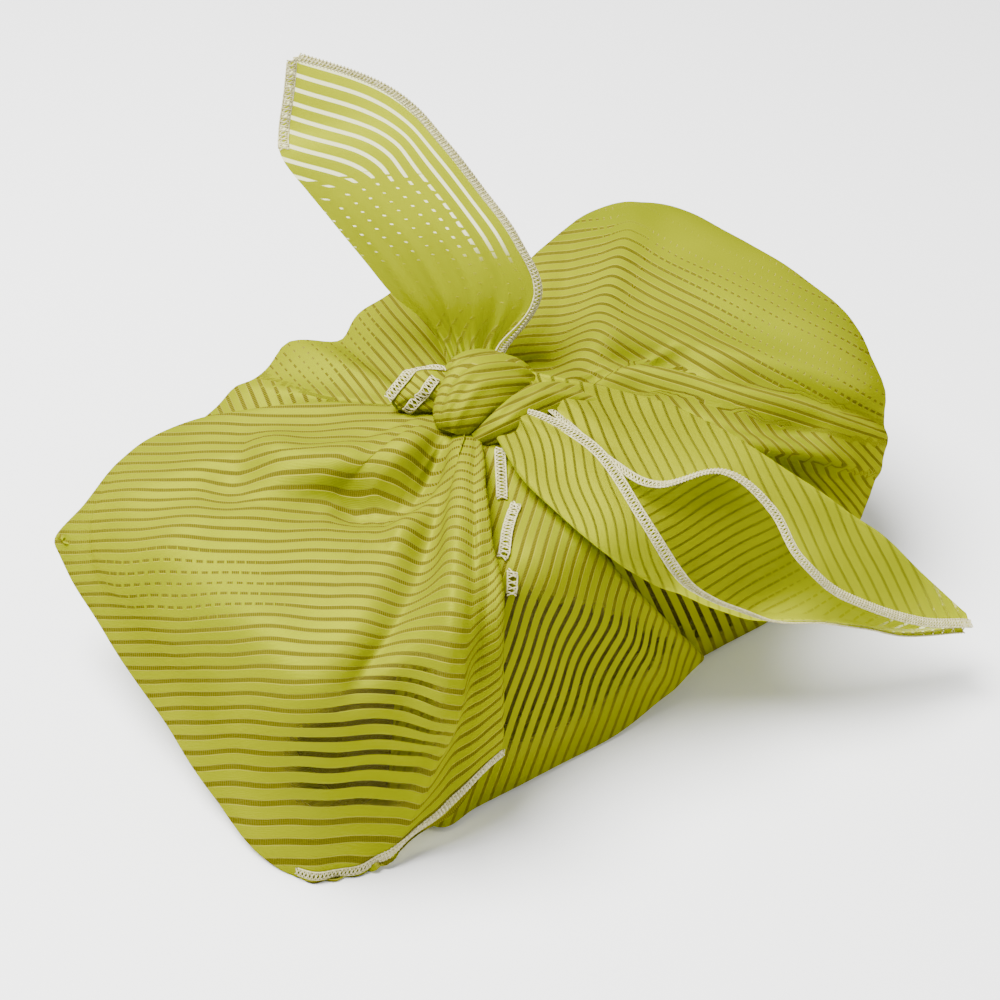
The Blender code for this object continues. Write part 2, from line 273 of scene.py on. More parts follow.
WRAP_CREASES = (
    Crease("crest of the pillow", 8, 3.2, 0.1, ((32, -52), (37, -62), (42, -84), (51, -108))),
    Crease("left of the crest", 6, -2.6, 0.1, ((20, -54), (24, -74), (28, -102))),
    Crease(
        "bend of the pillow", 8, 2.4, 0.1,
        ((38, -82), (64, -84), (82, -78), (106, -68), (126, -58)),
    ),
    Crease(
        "lip of the pillow", 5.5, 2.4, 0.0,
        ((33, -62), (46, -65), (61, -62), (82, -57), (106, -52), (134, -43)),
    ),
    Crease(
        "under the pillow", 4.0, -6.8, 0.1,
        ((38, -56), (50, -57), (61, -55), (73, -51), (89, -49), (106, -45), (134, -34)),
    ),
    Crease(
        "upper right roll", 4.6, 6.0, 0.0,
        ((34, -50), (50, -52), (66, -49), (90, -43), (108, -39), (134, -29)),
    ),
    Crease(
        "dark valley", 5.4, -6.6, 0.0,
        ((30, -45), (45, -44), (58, -41), (72, -37), (88, -34), (110, -30)),
    ),
    Crease(
        "lower right roll", 5.5, 6.0, 0.0,
        ((28, -43), (44, -40), (68, -34), (93, -29), (132, -17)),
    ),
    Crease(
        "hollow under the wing", 13, -6.0, 0.0,
        ((-12, -34), (-20, -20), (-28, -11), (-42, -8), (-60, -9)),
    ),
    Crease(
        "lower dark valley", 5.4, -6.6, 0.0,
        ((60, -29), (76, -27), (92, -22), (108, -18), (132, -12)),
    ),
)
WING_FOLDS = (
    Fold("side ridge", 176, 172, 12, 3, 0.25, 0.70, 0.0),
    Fold("upper slack", 162, 160, 6, 1.5, 0.12, 0.55, 0.2),
)
STRIP_BEND = Crease(
    "bend of the front strip", 2.4, 2.0, 0.3,
    ((-4, -34), (-2, 6), (-6, 34), (-14, 65), (-23, 88), (-31, 108)),
)
WING_CREASES = (
    Crease(
        "swell by the knot", 7.5, 5.4, 0.0,
        ((-13, -35), (-25, -27), (-38, -21), (-55, -22), (-80, -26)),
    ),
    Crease(
        "pleat under the swell", 4.8, -6.0, 0.1,
        ((-11, -33), (-19, -21), (-26, -12), (-35, -8), (-52, -9)),
    ),
    Crease("trough from the pleat", 7, -2.6, 0.1, ((-38, -9), (-62, -12), (-94, -15))),
    Crease("ridge beside the pleat", 4.6, 4.0, 0.0, ((-9, -32), (-15, -19), (-22, -6), (-32, 6))),
    Crease(
        "front column", 7.0, 6.0, 0.0,
        ((-7, -36), (-8, -14), (-9, 8), (-11, 30), (-15, 52), (-20, 74)),
    ),
    Crease(
        "trough beside the column", 6.5, -5.4, 0.0,
        ((-12, -32), (-18, -6), (-24, 14), (-33, 34), (-48, 60)),
    ),
    STRIP_BEND,
    Crease("groove of the front strip", 1.8, -2.4, 0.3, ((-4, -34), (-3, -6), (-4, 20), (-8, 44))),
    Crease("hollow of the front strip", 3.5, -2.0, 0.1, ((0, 4), (-1, 36), (-8, 68), (-15, 92))),
    Crease("low swell", 11, 2.0, 0.0, ((-104, 16), (-70, 34), (-54, 70))),
)
FLAP_CREASES = (
    Crease("fall from the knot", 8, 1.0, 0.0, ((8, -6), (18, 12), (32, 28), (54, 46))),
    Crease("trough beside the fall", 8, -0.9, 0.0, ((5, 4), (14, 22), (28, 40), (42, 58))),
    Crease("gathers at the right", 5, 1.2, 0.0, ((36, 24), (54, 40), (62, 54))),
)
WRAP_FIELDS = (
    Field("back left", 1, 50, 0.66, 0, 0, ()),
    Field(
        "behind the standing ear", 8, -8, 0.64, 0, -70,
        ((-2, -40), (-6, -63), (-18, -110), (-25, -170)),
    ),
    Field(
        "pillow", 16, 27, 0.69, 40, -74,
        ((24, -40), (29, -56), (35, -68), (42, -84), (51, -107), (66, -160)),
    ),
    Field(
        "upper right roll", 0.3, 17, 0.56, 73, -51,
        ((14, -46), (36, -49), (50, -57), (73, -51), (106, -46), (155, -25)),
    ),
    Field(
        "dark valley and lower roll", 0.3, 48, 0.66, 70, -44,
        ((14, -44), (49, -46), (68, -45), (94, -36), (121, -30), (155, -26)),
    ),
    Field(
        "under the lower roll", 0.3, 54, 0.60, 80, -27,
        ((30, -30), (75, -28), (98, -25), (126, -19), (155, -22)),
    ),
    Field("right front", 4, 66, 0.86, 60, 5, ((-20, -30), (5, -20), (60, 5), (110, 22), (160, 42))),
)
EAR_ONE_ROWS = (
    EarOneRow(-6, 8, 96, 5, 3, 96, 0),
    EarOneRow(1, 30, 101, 17, 13, 100, 3),
    EarOneRow(-8, 41, 115, 31, 14, 113, 5),
    EarOneRow(-18, 47, 134, 30, 24, 128, 5),
    EarOneRow(-27, 53, 151, 25, 36, 142, 4),
    EarOneRow(-32, 58, 162, 18, 45, 156, 4),
    EarOneRow(-30, 62, 168, 12, 52, 167, 3),
    EarOneRow(-27, 63, 177, 1, 58, 177, 2),
    EarOneRow(-24, 64, 187, -19, 64, 188, 0),
)
EAR_TWO_ROWS = (
    EarTwoRow(5, -5, 102, 13, -3, 101, -5, -4, 93, -3, -9, 99, 3),
    EarTwoRow(9, -19, 98, 20, -14, 101, -9, -18, 95, 4, -23, 102, 3),
    EarTwoRow(12, -46, 93, 36, -25, 96, -13, -39, 93, 10, -43, 99, 3),
    EarTwoRow(17, -60, 92, 50, -45, 92, -9, -66, 87, 8, -67, 91, 4),
    EarTwoRow(38, -65, 90, 58, -63, 86, 8, -72, 69, 13, -77, 76, 5),
    EarTwoRow(47, -78, 80, 69, -77, 75, 22, -74, 57, 22, -81, 63, 6),
    EarTwoRow(48, -91, 69, 82, -84, 63, 40, -81, 43, 40, -88, 48, 6),
    EarTwoRow(60, -99, 54, 93, -93, 51, 60, -92, 39, 58, -98, 43, 5),
    EarTwoRow(86, -109, 35, 102, -102, 38, 86, -103, 27, 84, -107, 30, 3),
    EarTwoRow(107, -116, 27, 110, -111, 28, 109, -111, 22, 106, -114, 23, 1),
)

# Plainer stretches of the weave, where the sheer stripes break into dashes and dots; where the
# weave is plainest the dots are painted pale for light coming through
WRAP_SPOTS = (
    Spot("plain top of the right end", 68, -97, 52, 14, 22, 1.0),
    Spot("dots of the right end", 94, -76, 40, 15, 30, 0.80),
    Spot("plain slope of the right end", 104, -58, 30, 10, 24, 0.92),
    Spot("faint dashes on the slope", 128, -50, 12, 10, 40, 0.86),
    Spot("dots at the back left", -54, -60, 22, 12, -40, 0.74),
)
WING_SPOTS = (Spot("faint left half", -96, 18, 30, 12, 6, 0.52),)

# Hems that lie on the cloth: the left lobe's and the three short ones of the front slot
LOBE_HEMS = (
    ((-31, -43), (-27, -48), (-22, -53), (-14, -55)),
    ((-25, -39), (-20, -44), (-16, -49)),
)
SLOT_HEMS = (
    ((2.8, -27), (3.2, -11)),
    ((8.2, -9.5), (5.6, -2), (3.8, 8)),
    ((6.6, 12.5), (6.2, 20)),
)


def spline(points: np.ndarray, samples: np.ndarray, closed: bool = False) -> np.ndarray:
    """Read a smooth curve through points at positions counted in points.

    Args:
        points: control values, one for each first index.
        samples: positions along the first index.
        closed: whether the last point joins the first.

    Returns:
        The values at the samples.
    """
    points = np.asarray(points, float)
    base = np.floor(samples).astype(int)
    if closed:
        share = samples - base
        before, start, stop, after = (
            points[(base + step) % len(points)] for step in (-1, 0, 1, 2)
        )
    else:
        first = 2.0 * points[0] - points[1]
        last = 2.0 * points[-1] - points[-2]
        longer = np.concatenate([[first], points, [last]])
        base = np.clip(base, 0, len(points) - 2)
        share = samples - base
        before, start, stop, after = (longer[base + step] for step in range(4))
    share = share.reshape(share.shape + (1,) * (points.ndim - 1))
    linear = stop - before
    square = 2.0 * before - 5.0 * start + 4.0 * stop - after
    cube = 3.0 * start - before - 3.0 * stop + after
    return 0.5 * (2.0 * start + linear * share + square * share**2 + cube * share**3)


def loft(cage: Sequence, columns: int, rows: int, closed: bool = False) -> np.ndarray:
    """Dense grid of points through a cage of control points.

    Args:
        cage: control points, by columns and rows.
        columns: columns of the grid.
        rows: rows of the grid.
        closed: whether the last column joins the first.

    Returns:
        The grid's points.
    """
    cage = np.asarray(cage, float)
    if closed:
        across = np.linspace(0, len(cage), columns, endpoint=False)
    else:
        across = np.linspace(0, len(cage) - 1, columns)
    wide = spline(cage, across, closed)
    down = np.linspace(0, cage.shape[1] - 1, rows)
    return np.swapaxes(spline(np.swapaxes(wide, 0, 1), down), 0, 1)


def ramp(values: np.ndarray, start: float, width: float) -> np.ndarray:
    """Rise from 0 at a start to 1 after a width, or fall where the width is below 0."""
    return np.clip((values - start) / width, 0.0, 1.0)


def fold_shape(apart: np.ndarray, crisp: float) -> np.ndarray:
    """Height across a fold, between a soft bell and a crisp edge.

    Args:
        apart: distance from the fold's line as a share of its width.
        crisp: 0 for the bell and 1 for the edge.

    Returns:
        The height, 1 on the line.
    """
    soft = np.exp(-(apart**2))
    sharp = np.exp(-1.3 * (np.sqrt(apart**2 + 0.02) - 0.14))
    return soft + (sharp - soft) * crisp


def table_point(row: NamedTuple, prefix: str) -> np.ndarray:
    """Point whose coordinates a table's row keeps under one prefix."""
    return np.array([getattr(row, prefix + axis) for axis in "xyz"], float)


def even_shares(count: int) -> np.ndarray:
    """Even shares from 0 to 1 along a grid's rows."""
    return np.linspace(0.0, 1.0, count)[None, :]


def unit(vectors: np.ndarray) -> np.ndarray:
    """Scale vectors to a length of one."""
    return vectors / np.maximum(np.linalg.norm(vectors, axis=-1, keepdims=True), 1e-9)


def grid_normals(grid: np.ndarray) -> np.ndarray:
    """Unit normals of a grid, outward for columns that run anticlockwise."""
    return unit(np.cross(np.gradient(grid, axis=1), np.gradient(grid, axis=0)))


def run_length(grid: np.ndarray, axis: int) -> np.ndarray:
    """Distance along one axis of a grid, from its first row or column.

    Args:
        grid: points in millimetres, columns by rows.
        axis: 0 across the columns or 1 along the rows.

    Returns:
        The distances in millimetres.
    """
    steps = np.linalg.norm(np.diff(grid, axis=axis), axis=-1)
    total = np.cumsum(steps, axis=axis)
    lead = np.zeros_like(np.take(total, [0], axis=axis))
    return np.concatenate([lead, total], axis=axis)


def view_axes() -> tuple[np.ndarray, np.ndarray, np.ndarray]:
    """Directions to the right, up and towards the eye from where the wrap is seen.

    Returns:
        The three unit vectors.
    """
    azimuth = math.radians(VIEW_AZIMUTH)
    height = math.radians(VIEW_ELEVATION)
    right = np.array([math.cos(azimuth), math.sin(azimuth), 0.0])
    back = np.array(
        [
            math.sin(azimuth) * math.cos(height),
            -math.cos(azimuth) * math.cos(height),
            math.sin(height),
        ]
    )
    return right, np.cross(back, right), back


VIEW_RIGHT, VIEW_UP, VIEW_BACK = view_axes()


def swirled(point: np.ndarray, degrees: float) -> np.ndarray:
    """Point turned about the upright line through the knot.

    Args:
        point: the point.
        degrees: the turn, anticlockwise from above.

    Returns:
        The turned point.
    """
    angle = math.radians(degrees)
    east = point[0] - KNOT_X
    north = point[1] - KNOT_Y
    return np.array(
        [
            KNOT_X + east * math.cos(angle) - north * math.sin(angle),
            KNOT_Y + east * math.sin(angle) + north * math.cos(angle),
            point[2],
        ]
    )


def meridian(
    shoulder: np.ndarray,
    foot: np.ndarray,
    rise: float,
    belly: float,
    neck: tuple[float, float],
    turn: float = 0.0,
) -> tuple[list[np.ndarray], np.ndarray]:
    """Control points of cloth from inside the knot over the shoulder to the foot.

    Args:
        shoulder: where the cloth turns down over the box's edge.
        foot: lower end of the side.
        rise: crown of the top.
        belly: how far the side swells.
        neck: radius and height of the neck of cloth under the knot.
        turn: swirl near the knot in degrees.

    Returns:
        The points and the outward direction.
    """
    knot = np.array([KNOT_X, KNOT_Y, 0.0])
    out = unit((shoulder - knot) * (1.0, 1.0, 0.0))
    up = np.array([0.0, 0.0, 1.0])
    start = knot + out * neck[0] + up * neck[1]
    core = knot + out * NECK_CORE_RADIUS + up * (neck[1] + NECK_CORE_RISE)
    near = start + (shoulder - start) * NEAR_SHARE
    middle = start + (shoulder - start) * MID_SHARE + up * rise
    top = start + (shoulder - start) * TOP_SHARE + up * (TOP_CROWN + 0.4 * rise)
    side = shoulder + (foot - shoulder) * SIDE_SHARE + out * 0.5
    low = shoulder + (foot - shoulder) * LOW_SHARE + out * belly
    upper = [
        swirled(point, turn * share)
        for point, share in zip((start, near, middle, top), SWIRL_SHARES)
    ]
    return [core, *upper, side, low, foot], out


def seen(grid: np.ndarray) -> tuple[np.ndarray, np.ndarray]:
    """Place of each point to the right and down, as seen from the photograph's side.

    Args:
        grid: points in millimetres.

    Returns:
        Millimetres to the right and down at the distance of the view's target.
    """
    away = grid - np.array(VIEW_TARGET)
    nearer = VIEW_DISTANCE / (VIEW_DISTANCE - away @ VIEW_BACK)
    return (away @ VIEW_RIGHT) * nearer, -(away @ VIEW_UP) * nearer


def off_line(
    right: np.ndarray, down: np.ndarray, line: Sequence[tuple[float, float]]
) -> tuple[np.ndarray, np.ndarray, np.ndarray]:
    """Distance, signed distance and share along a line of seen places.

    Args:
        right: places to the right.
        down: places down.
        line: corners of the line.

    Returns:
        The distances, the same with a minus on the right of the line's way, and how far
        along the line the nearest place is, from 0 to 1.
    """
    best = np.full(right.shape, 1e9)
    signed = np.zeros(right.shape)
    run = np.zeros(right.shape)
    lengths = [math.dist(start, stop) for start, stop in zip(line, line[1:])]
    passed = 0.0
    for start, stop, length in zip(line, line[1:], lengths):
        way_x, way_y = stop[0] - start[0], stop[1] - start[1]
        square = way_x**2 + way_y**2
        off_x, off_y = right - start[0], down - start[1]
        share = np.clip((off_x * way_x + off_y * way_y) / square, 0.0, 1.0)
        apart = np.hypot(off_x - share * way_x, off_y - share * way_y)
        side = np.where(way_x * off_y - way_y * off_x > 0, -1.0, 1.0)
        closer = apart < best
        best = np.where(closer, apart, best)
        signed = np.where(closer, side * apart, signed)
        run = np.where(closer, passed + share * length, run)
        passed += length
    return best, signed, run / passed


def crease_grid(grid: np.ndarray, creases: Sequence[Crease]) -> np.ndarray:
    """Raise or sink the creases of a table along a grid's normals.

    Args:
        grid: points in millimetres, columns by rows.
        creases: the table.

    Returns:
        The creased grid.
    """
    right, down = seen(grid)
    normal = grid_normals(grid)
    facing = np.clip((normal @ VIEW_BACK) * 5.0 - 0.2, 0.0, 1.0)
    lift = np.zeros(grid.shape[:2])
    for crease in creases:
        apart, _, run = off_line(right, down, crease.line)
        apart = apart / crease.width
        fade = np.sin(0.5 * np.pi * ramp(np.minimum(run, 1.0 - run), 0.0, CREASE_FADE))
        lift += crease.height * fade * fold_shape(apart, crease.crisp)
    return grid + normal * (lift * facing)[..., None]


def spot_cover(grid: np.ndarray, spots: Sequence[Spot]) -> np.ndarray:
    """How plain the weave is at each point, from a table of spots.

    Args:
        grid: points in millimetres, columns by rows.
        spots: the table.

    Returns:
        The cover, 0 where the stripes are whole and 1 where the cloth is plain.
    """
    right, down = seen(grid)
    cover = np.zeros(grid.shape[:2])
    for spot in spots:
        tilt = math.radians(spot.tilt)
        off_x, off_y = right - spot.right, down - spot.down
        long = (off_x * math.cos(tilt) + off_y * math.sin(tilt)) / spot.wide
        short = (off_y * math.cos(tilt) - off_x * math.sin(tilt)) / spot.deep
        cover = np.maximum(cover, spot.amount * np.exp(-((long**2 + short**2) ** 2)))
    return cover


def stripe_ways(
    right: np.ndarray, down: np.ndarray, tilt: float, scale: float
) -> tuple[np.ndarray, np.ndarray]:
    """Coordinates along and across stripes that fall to the right by a tilt.

    Args:
        right: places to the right.
        down: places down.
        tilt: how far the stripes fall to the right, in degrees.
        scale: width of the stripes as a share of the cloth's own.

    Returns:
        The two coordinates.
    """
    angle = math.radians(tilt)
    along = (right * math.cos(angle) + down * math.sin(angle)) / scale
    across = (down * math.cos(angle) - right * math.sin(angle)) / scale
    return along, across


def polar(grid: np.ndarray) -> tuple[np.ndarray, np.ndarray]:
    """Direction in radians and distance of a grid's points about the knot.

    Args:
        grid: points in millimetres, columns by rows.

    Returns:
        The directions and the distances.
    """
    east = grid[..., 0] - KNOT_X
    north = grid[..., 1] - KNOT_Y
    return np.arctan2(north, east), np.hypot(east, north)


def fold_grid(grid: np.ndarray, folds: Sequence[Fold]) -> np.ndarray:
    """Raise or sink the folds of a table along a grid's normals.

    Args:
        grid: points in millimetres, columns by rows.
        folds: the table.

    Returns:
        The folded grid.
    """
    normal = grid_normals(grid)
    level = np.linspace(0.0, 1.0, grid.shape[1])[None, :]
    angle, reach = polar(grid)
    lift = np.zeros(grid.shape[:2])
    for fold in folds:
        part = ramp(level, fold.start, fold.end - fold.start)
        line = np.radians(fold.near + (fold.far - fold.near) * part)
        apart = np.angle(np.exp(1j * (angle - line))) * reach
        apart /= fold.width * (0.6 + 0.4 * part)
        lift += fold.height * np.sin(np.pi * part) * fold_shape(apart, fold.crisp)
    return grid + normal * lift[..., None]


def slack_grid(grid: np.ndarray, seed: int, size: float, height: float) -> np.ndarray:
    """Give a grid the faint unevenness of slack cloth.

    Args:
        grid: points of the cloth.
        seed: fixed seed of the unevenness.
        size: distance between swells in millimetres.
        height: height of the swells in millimetres.

    Returns:
        The uneven grid.
    """
    dice = np.random.default_rng(seed)
    normal = grid_normals(grid)
    lift = np.zeros(grid.shape[:2])
    for _ in range(9):
        wave = unit(dice.normal(size=3)) * (2.0 * np.pi / (size * dice.uniform(0.7, 1.6)))
        lift += np.sin(grid @ wave + dice.uniform(0.0, 2.0 * np.pi))
    fade = np.clip(np.linspace(0.0, 4.0, grid.shape[1]), 0.0, 1.0)[None, :]
    return grid + normal * (lift * fade * height / 4.0)[..., None]


def gathers(seed: int, low: float, high: float, count: int, height: float) -> list[Fold]:
    """Small folds that gather the cloth into the knot.

    Args:
        seed: fixed seed of the folds.
        low: first direction in degrees.
        high: last direction in degrees.
        count: how many folds.
        height: greatest height in millimetres.

    Returns:
        The folds, alternately raised and sunk.
    """
    dice = np.random.default_rng(seed)
    folds = []
    for index in range(count):
        near = low + (high - low) * (index + dice.uniform(0.2, 0.8)) / count
        far = near + dice.uniform(-5.0, 5.0)
        lift = height * dice.uniform(0.4, 1.0) * (1 if index % 2 else -1)
        end = dice.uniform(0.30, 0.52)
        width = dice.uniform(1.6, 3.2)
        folds.append(Fold("gather", near, far, width, lift, 0.08, end, 0.4))
    return folds


class Side(Enum):
    """Which edge of a cloth grid is meant."""

    FIRST_COLUMN = "first column"
    LAST_COLUMN = "last column"
    LAST_ROW = "last row"


@dataclass
class Hem:
    """Line of an overlocked edge, with the ways inward and out of the cloth."""

    points: np.ndarray
    inward: np.ndarray
    normal: np.ndarray


@dataclass
class Patch:
    """Grid of cloth with its own coordinates along and across the stripes.

    Args:
        points: columns by rows of points in millimetres.
        along: place along the stripes in millimetres.
        across: place across the stripes in millimetres.
        cover: 0 where the stripes are whole and 1 where the cloth is plain.
        backing: 1 where another layer lies behind and 0 where the cloth is sheer.
        airy: how freely light falls on the cloth from behind, 0 where it can't.
        closed: whether the last column joins the first.
        hole: faces left out.
    """

    points: np.ndarray
    along: np.ndarray
    across: np.ndarray
    cover: np.ndarray
    backing: np.ndarray
    airy: float = 0.0
    closed: bool = False
    hole: Optional[np.ndarray] = None

    def hem(self, side: Side, start: float, stop: float, row: int = -1) -> Hem:
        """Line of one edge between two shares of its length.

        Args:
            side: the edge.
            start: share at which the line starts.
            stop: share at which it ends.
            row: row that is the edge, for the last row's side.

        Returns:
            The hem's line.
        """
        normal = grid_normals(self.points)
        if side is Side.LAST_ROW:
            edge, inner = self.points[:, row], self.points[:, row - 5]
            face = normal[:, row - 2]
        elif side is Side.FIRST_COLUMN:
            edge, inner, face = self.points[0], self.points[2], normal[0]
        else:
            edge, inner, face = self.points[-1], self.points[-3], normal[-1]
        low = int(round(start * (len(edge) - 1)))
        high = int(round(stop * (len(edge) - 1))) + 1
        pick = slice(low, high)
        return Hem(edge[pick], unit(inner - edge)[pick], face[pick])

    def laid(self, line: Sequence[tuple[float, float]], lift: float) -> Hem:
        """Hem that lies on the cloth along a line seen from the photograph's side.

        Args:
            line: corners of the line to the right and down.
            lift: height above the cloth in millimetres.

        Returns:
            The hem's line, with its inward side to the line's right.
        """
        corners = np.array(line, float)
        marks = spline(corners, np.linspace(0, len(corners) - 1, 40))
        right, down = seen(self.points)
        normal = grid_normals(self.points)
        facing = (normal @ VIEW_BACK) < 0.1
        points = []
        faces = []
        for mark in marks:
            apart = np.hypot(right - mark[0], down - mark[1]) + 1e3 * facing
            near = np.argpartition(apart.ravel(), 6)[:6]
            weight = 1.0 / (apart.ravel()[near] ** 2 + 0.05)
            weight /= weight.sum()
            points.append(weight @ self.points.reshape(-1, 3)[near])
            faces.append(weight @ normal.reshape(-1, 3)[near])
        line3 = np.array(points)
        soft = np.array([0.25, 0.5, 0.25])
        for _ in range(3):
            inner = [np.convolve(line3[:, k], soft, "same") for k in range(3)]
            line3[1:-1] = np.stack(inner, axis=-1)[1:-1]
        face = unit(np.array(faces))
        way = unit(np.gradient(line3, axis=0))
        return Hem(line3 + face * lift, unit(np.cross(face, way)), face)

    def curled(
        self, side: Side, radius: np.ndarray, turn: float, steps: int, slant: float
    ) -> "Patch":
        """Roll a side edge under.

        Args:
            side: first or last column.
            radius: radius of the roll along the edge in millimetres.
            turn: how far it rolls, in degrees.
            steps: columns added.
            slant: how far the stripes drift along the edge as it rolls.

        Returns:
            The patch with the roll.
        """
        order = slice(None, None, -1) if side is Side.FIRST_COLUMN else slice(None)
        points = self.points[order]
        normal = grid_normals(self.points)[order][-1]
        out = unit(points[-1] - points[-2])
        step = np.linalg.norm(points[-1] - points[-2], axis=-1)
        added = [points]
        alongs = [self.along[order]]
        acrosses = [self.across[order]]
        slope_u = (alongs[0][-1] - alongs[0][-2]) / step
        slope_v = (acrosses[0][-1] - acrosses[0][-2]) / step
        for angle in np.linspace(0.0, math.radians(turn), steps + 1)[1:]:
            reach = radius * math.sin(angle)
            drop = radius * (1.0 - math.cos(angle))
            ring = points[-1] + out * reach[:, None] - normal * drop[:, None]
            added.append(ring[None])
            alongs.append((alongs[0][-1] + slope_u * radius * angle)[None])
            drift = acrosses[0][-1] + (slope_v + slant) * radius * angle
            acrosses.append(drift[None])

        def stretched(values: np.ndarray) -> np.ndarray:
            """Repeat the edge's values on the roll."""
            values = values[order]
            return np.concatenate([values, np.repeat(values[-1:], steps, axis=0)])[order]

        return replace(
            self,
            points=np.concatenate(added)[order],
            along=np.concatenate(alongs)[order],
            across=np.concatenate(acrosses)[order],
            cover=stretched(self.cover),
            backing=stretched(self.backing),
        )


class SheerWindow(NamedTuple):
    """Convex region, as seen from the photograph's side, where one layer is sheer."""

    name: str
    corners: tuple[tuple[float, float], ...]
    soft: float

    def inside(self, grid: np.ndarray) -> np.ndarray:
        """Share from 0 outside to 1 well inside for each point of a grid.

        Args:
            grid: points in millimetres, columns by rows.

        Returns:
            The shares.
        """
        right, down = seen(grid)
        share = np.ones(grid.shape[:2])
        corners = self.corners
        for start, stop in zip(corners, corners[1:] + corners[:1]):
            edge_x, edge_y = stop[0] - start[0], stop[1] - start[1]
            length = math.hypot(edge_x, edge_y)
            depth = (edge_x * (down - start[1]) - edge_y * (right - start[0])) / length
            share *= np.clip(depth / self.soft + 0.5, 0.0, 1.0)
        return share


WING_WINDOW = SheerWindow(
    "over the box's near corner",
    ((-68, 68), (-52, 54), (-18, 38), (-15, 52), (-18, 74), (-30, 92), (-62, 92)),
    9.0,
)
FLAP_WINDOW = SheerWindow(
    "lower front",
    ((0, 15), (42, 24), (64, 36), (46, 52), (18, 68), (-14, 78), (-14, 18)),
    5.0,
)
RIGHT_WINDOW = SheerWindow(
    "front beside the folded ear",
    ((4, -8), (20, -10), (44, 4), (70, 18), (84, 30), (72, 36), (50, 33), (36, 22), (8, 10)),
    3.0,
)


class ClothMesh:
    """Mesh that holds the cloth's patches, unjoined, as one piece."""

    def __init__(self, shift: np.ndarray) -> None:
        """Start an empty sheet.

        Args:
            shift: from the tables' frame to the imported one, in millimetres.
        """
        self.shift = shift
        self.points: list[np.ndarray] = []
        self.faces: list[np.ndarray] = []
        self.uvs: list[np.ndarray] = []
        self.cover: list[np.ndarray] = []
        self.backing: list[np.ndarray] = []
        self.airy: list[np.ndarray] = []
        self.count = 0

    def add(self, patch: Patch) -> None:
        """Add a patch's points, faces and stripe coordinates.

        Args:
            patch: the cloth to add.
        """
        columns, rows = patch.points.shape[:2]
        index = np.arange(columns * rows).reshape(columns, rows) + self.count
        if patch.closed:
            index_a, index_b = index, np.roll(index, -1, axis=0)
        else:
            index_a, index_b = index[:-1], index[1:]
        flat = np.stack([patch.along, patch.across], axis=-1) / UV_UNIT
        flat_a, flat_b = flat[: len(index_a)], flat[1 : len(index_a) + 1]
        quads = np.stack(
            [index_a[:, :-1], index_a[:, 1:], index_b[:, 1:], index_b[:, :-1]], axis=-1
        )
        corners = np.stack(
            [flat_a[:, :-1], flat_a[:, 1:], flat_b[:, 1:], flat_b[:, :-1]], axis=-2
        )
        if patch.hole is not None:
            keep = ~patch.hole
            quads, corners = quads[keep], corners[keep]
        self.faces.append(quads.reshape(-1, 4))
        self.uvs.append(corners.reshape(-1, 2))
        self.points.append(patch.points.reshape(-1, 3))
        self.cover.append(patch.cover.reshape(-1))
        self.backing.append(patch.backing.reshape(-1))
        self.airy.append(np.full(columns * rows, patch.airy))
        self.count += columns * rows

    def build(self, name: str, material: bpy.types.Material) -> bpy.types.Object:
        """Make the sheet's object.

        Args:
            name: the object's name.
            material: the cloth's finish.

        Returns:
            The object, with its flat UV map, its weave attributes and the airy one, which says how
            freely light falls from behind and drives painted light.
        """
        points = (np.concatenate(self.points) + self.shift) * MM
        faces = np.concatenate(self.faces)
        used = np.zeros(len(points), bool)
        used[faces.ravel()] = True
        number = np.cumsum(used) - 1
        mesh = bpy.data.meshes.new(name)
        mesh.from_pydata(points[used], [], number[faces].tolist())
        layer = mesh.uv_layers.new(name="flat_cloth")
        layer.data.foreach_set("uv", np.concatenate(self.uvs).astype(np.float32).ravel())
        weave = {"cover": self.cover, "backing": self.backing, "airy": self.airy}
        for label, values in weave.items():
            kept = np.concatenate(values)[used].astype(np.float32)
            mesh.attributes.new(label, "FLOAT", "POINT").data.foreach_set("value", kept)
        mesh.shade_smooth()
        mesh.materials.append(material)
        item = bpy.data.objects.new(name, mesh)
        bpy.context.scene.collection.objects.link(item)
        return item


Operand = Union["Value", float]


class Value:
    """A number on its way through a shader, with the usual operators."""

    def __init__(self, maker: "ShaderMaker", socket: bpy.types.NodeSocket) -> None:
        """Wrap an output socket of a maker's node tree."""
        self.maker = maker
        self.socket = socket

    def _math(self, operation: str, first: Operand, second: Operand = 0.0) -> "Value":
        """Add one Math node.

        Args:
            operation: what the node does.
            first: its first input.
            second: its second input.

        Returns:
            The node's output.
        """
        node = self.maker.node(
            "ShaderNodeMath", {"operation": operation}, {0: first, 1: second}
        )
        return Value(self.maker, node.outputs[0])

    def __add__(self, other: Operand) -> "Value":
        """Sum."""
        return self._math("ADD", self, other)

    __radd__ = __add__

    def __sub__(self, other: Operand) -> "Value":
        """Difference."""
        return self._math("SUBTRACT", self, other)

    def __rsub__(self, other: Operand) -> "Value":
        """Difference from a number."""
        return self._math("SUBTRACT", other, self)

    def __mul__(self, other: Operand) -> "Value":
        """Product."""
        return self._math("MULTIPLY", self, other)

    __rmul__ = __mul__

    def __truediv__(self, other: Operand) -> "Value":
        """Quotient."""
        return self._math("DIVIDE", self, other)

    def __abs__(self) -> "Value":
        """Size without sign."""
        return self._math("ABSOLUTE", self)

    def floor(self) -> "Value":
        """Whole part."""
        return self._math("FLOOR", self)

    def fract(self) -> "Value":
        """Part after the point."""
        return self._math("FRACT", self)

    def sine(self) -> "Value":
        """Sine of an angle in radians."""
        return self._math("SINE", self)

    def least(self, other: Operand) -> "Value":
        """Smaller of two."""
        return self._math("MINIMUM", self, other)

    def most(self, other: Operand) -> "Value":
        """Larger of two."""
        return self._math("MAXIMUM", self, other)

    def clipped(self) -> "Value":
        """Kept between 0 and 1."""
        return self.most(0.0).least(1.0)


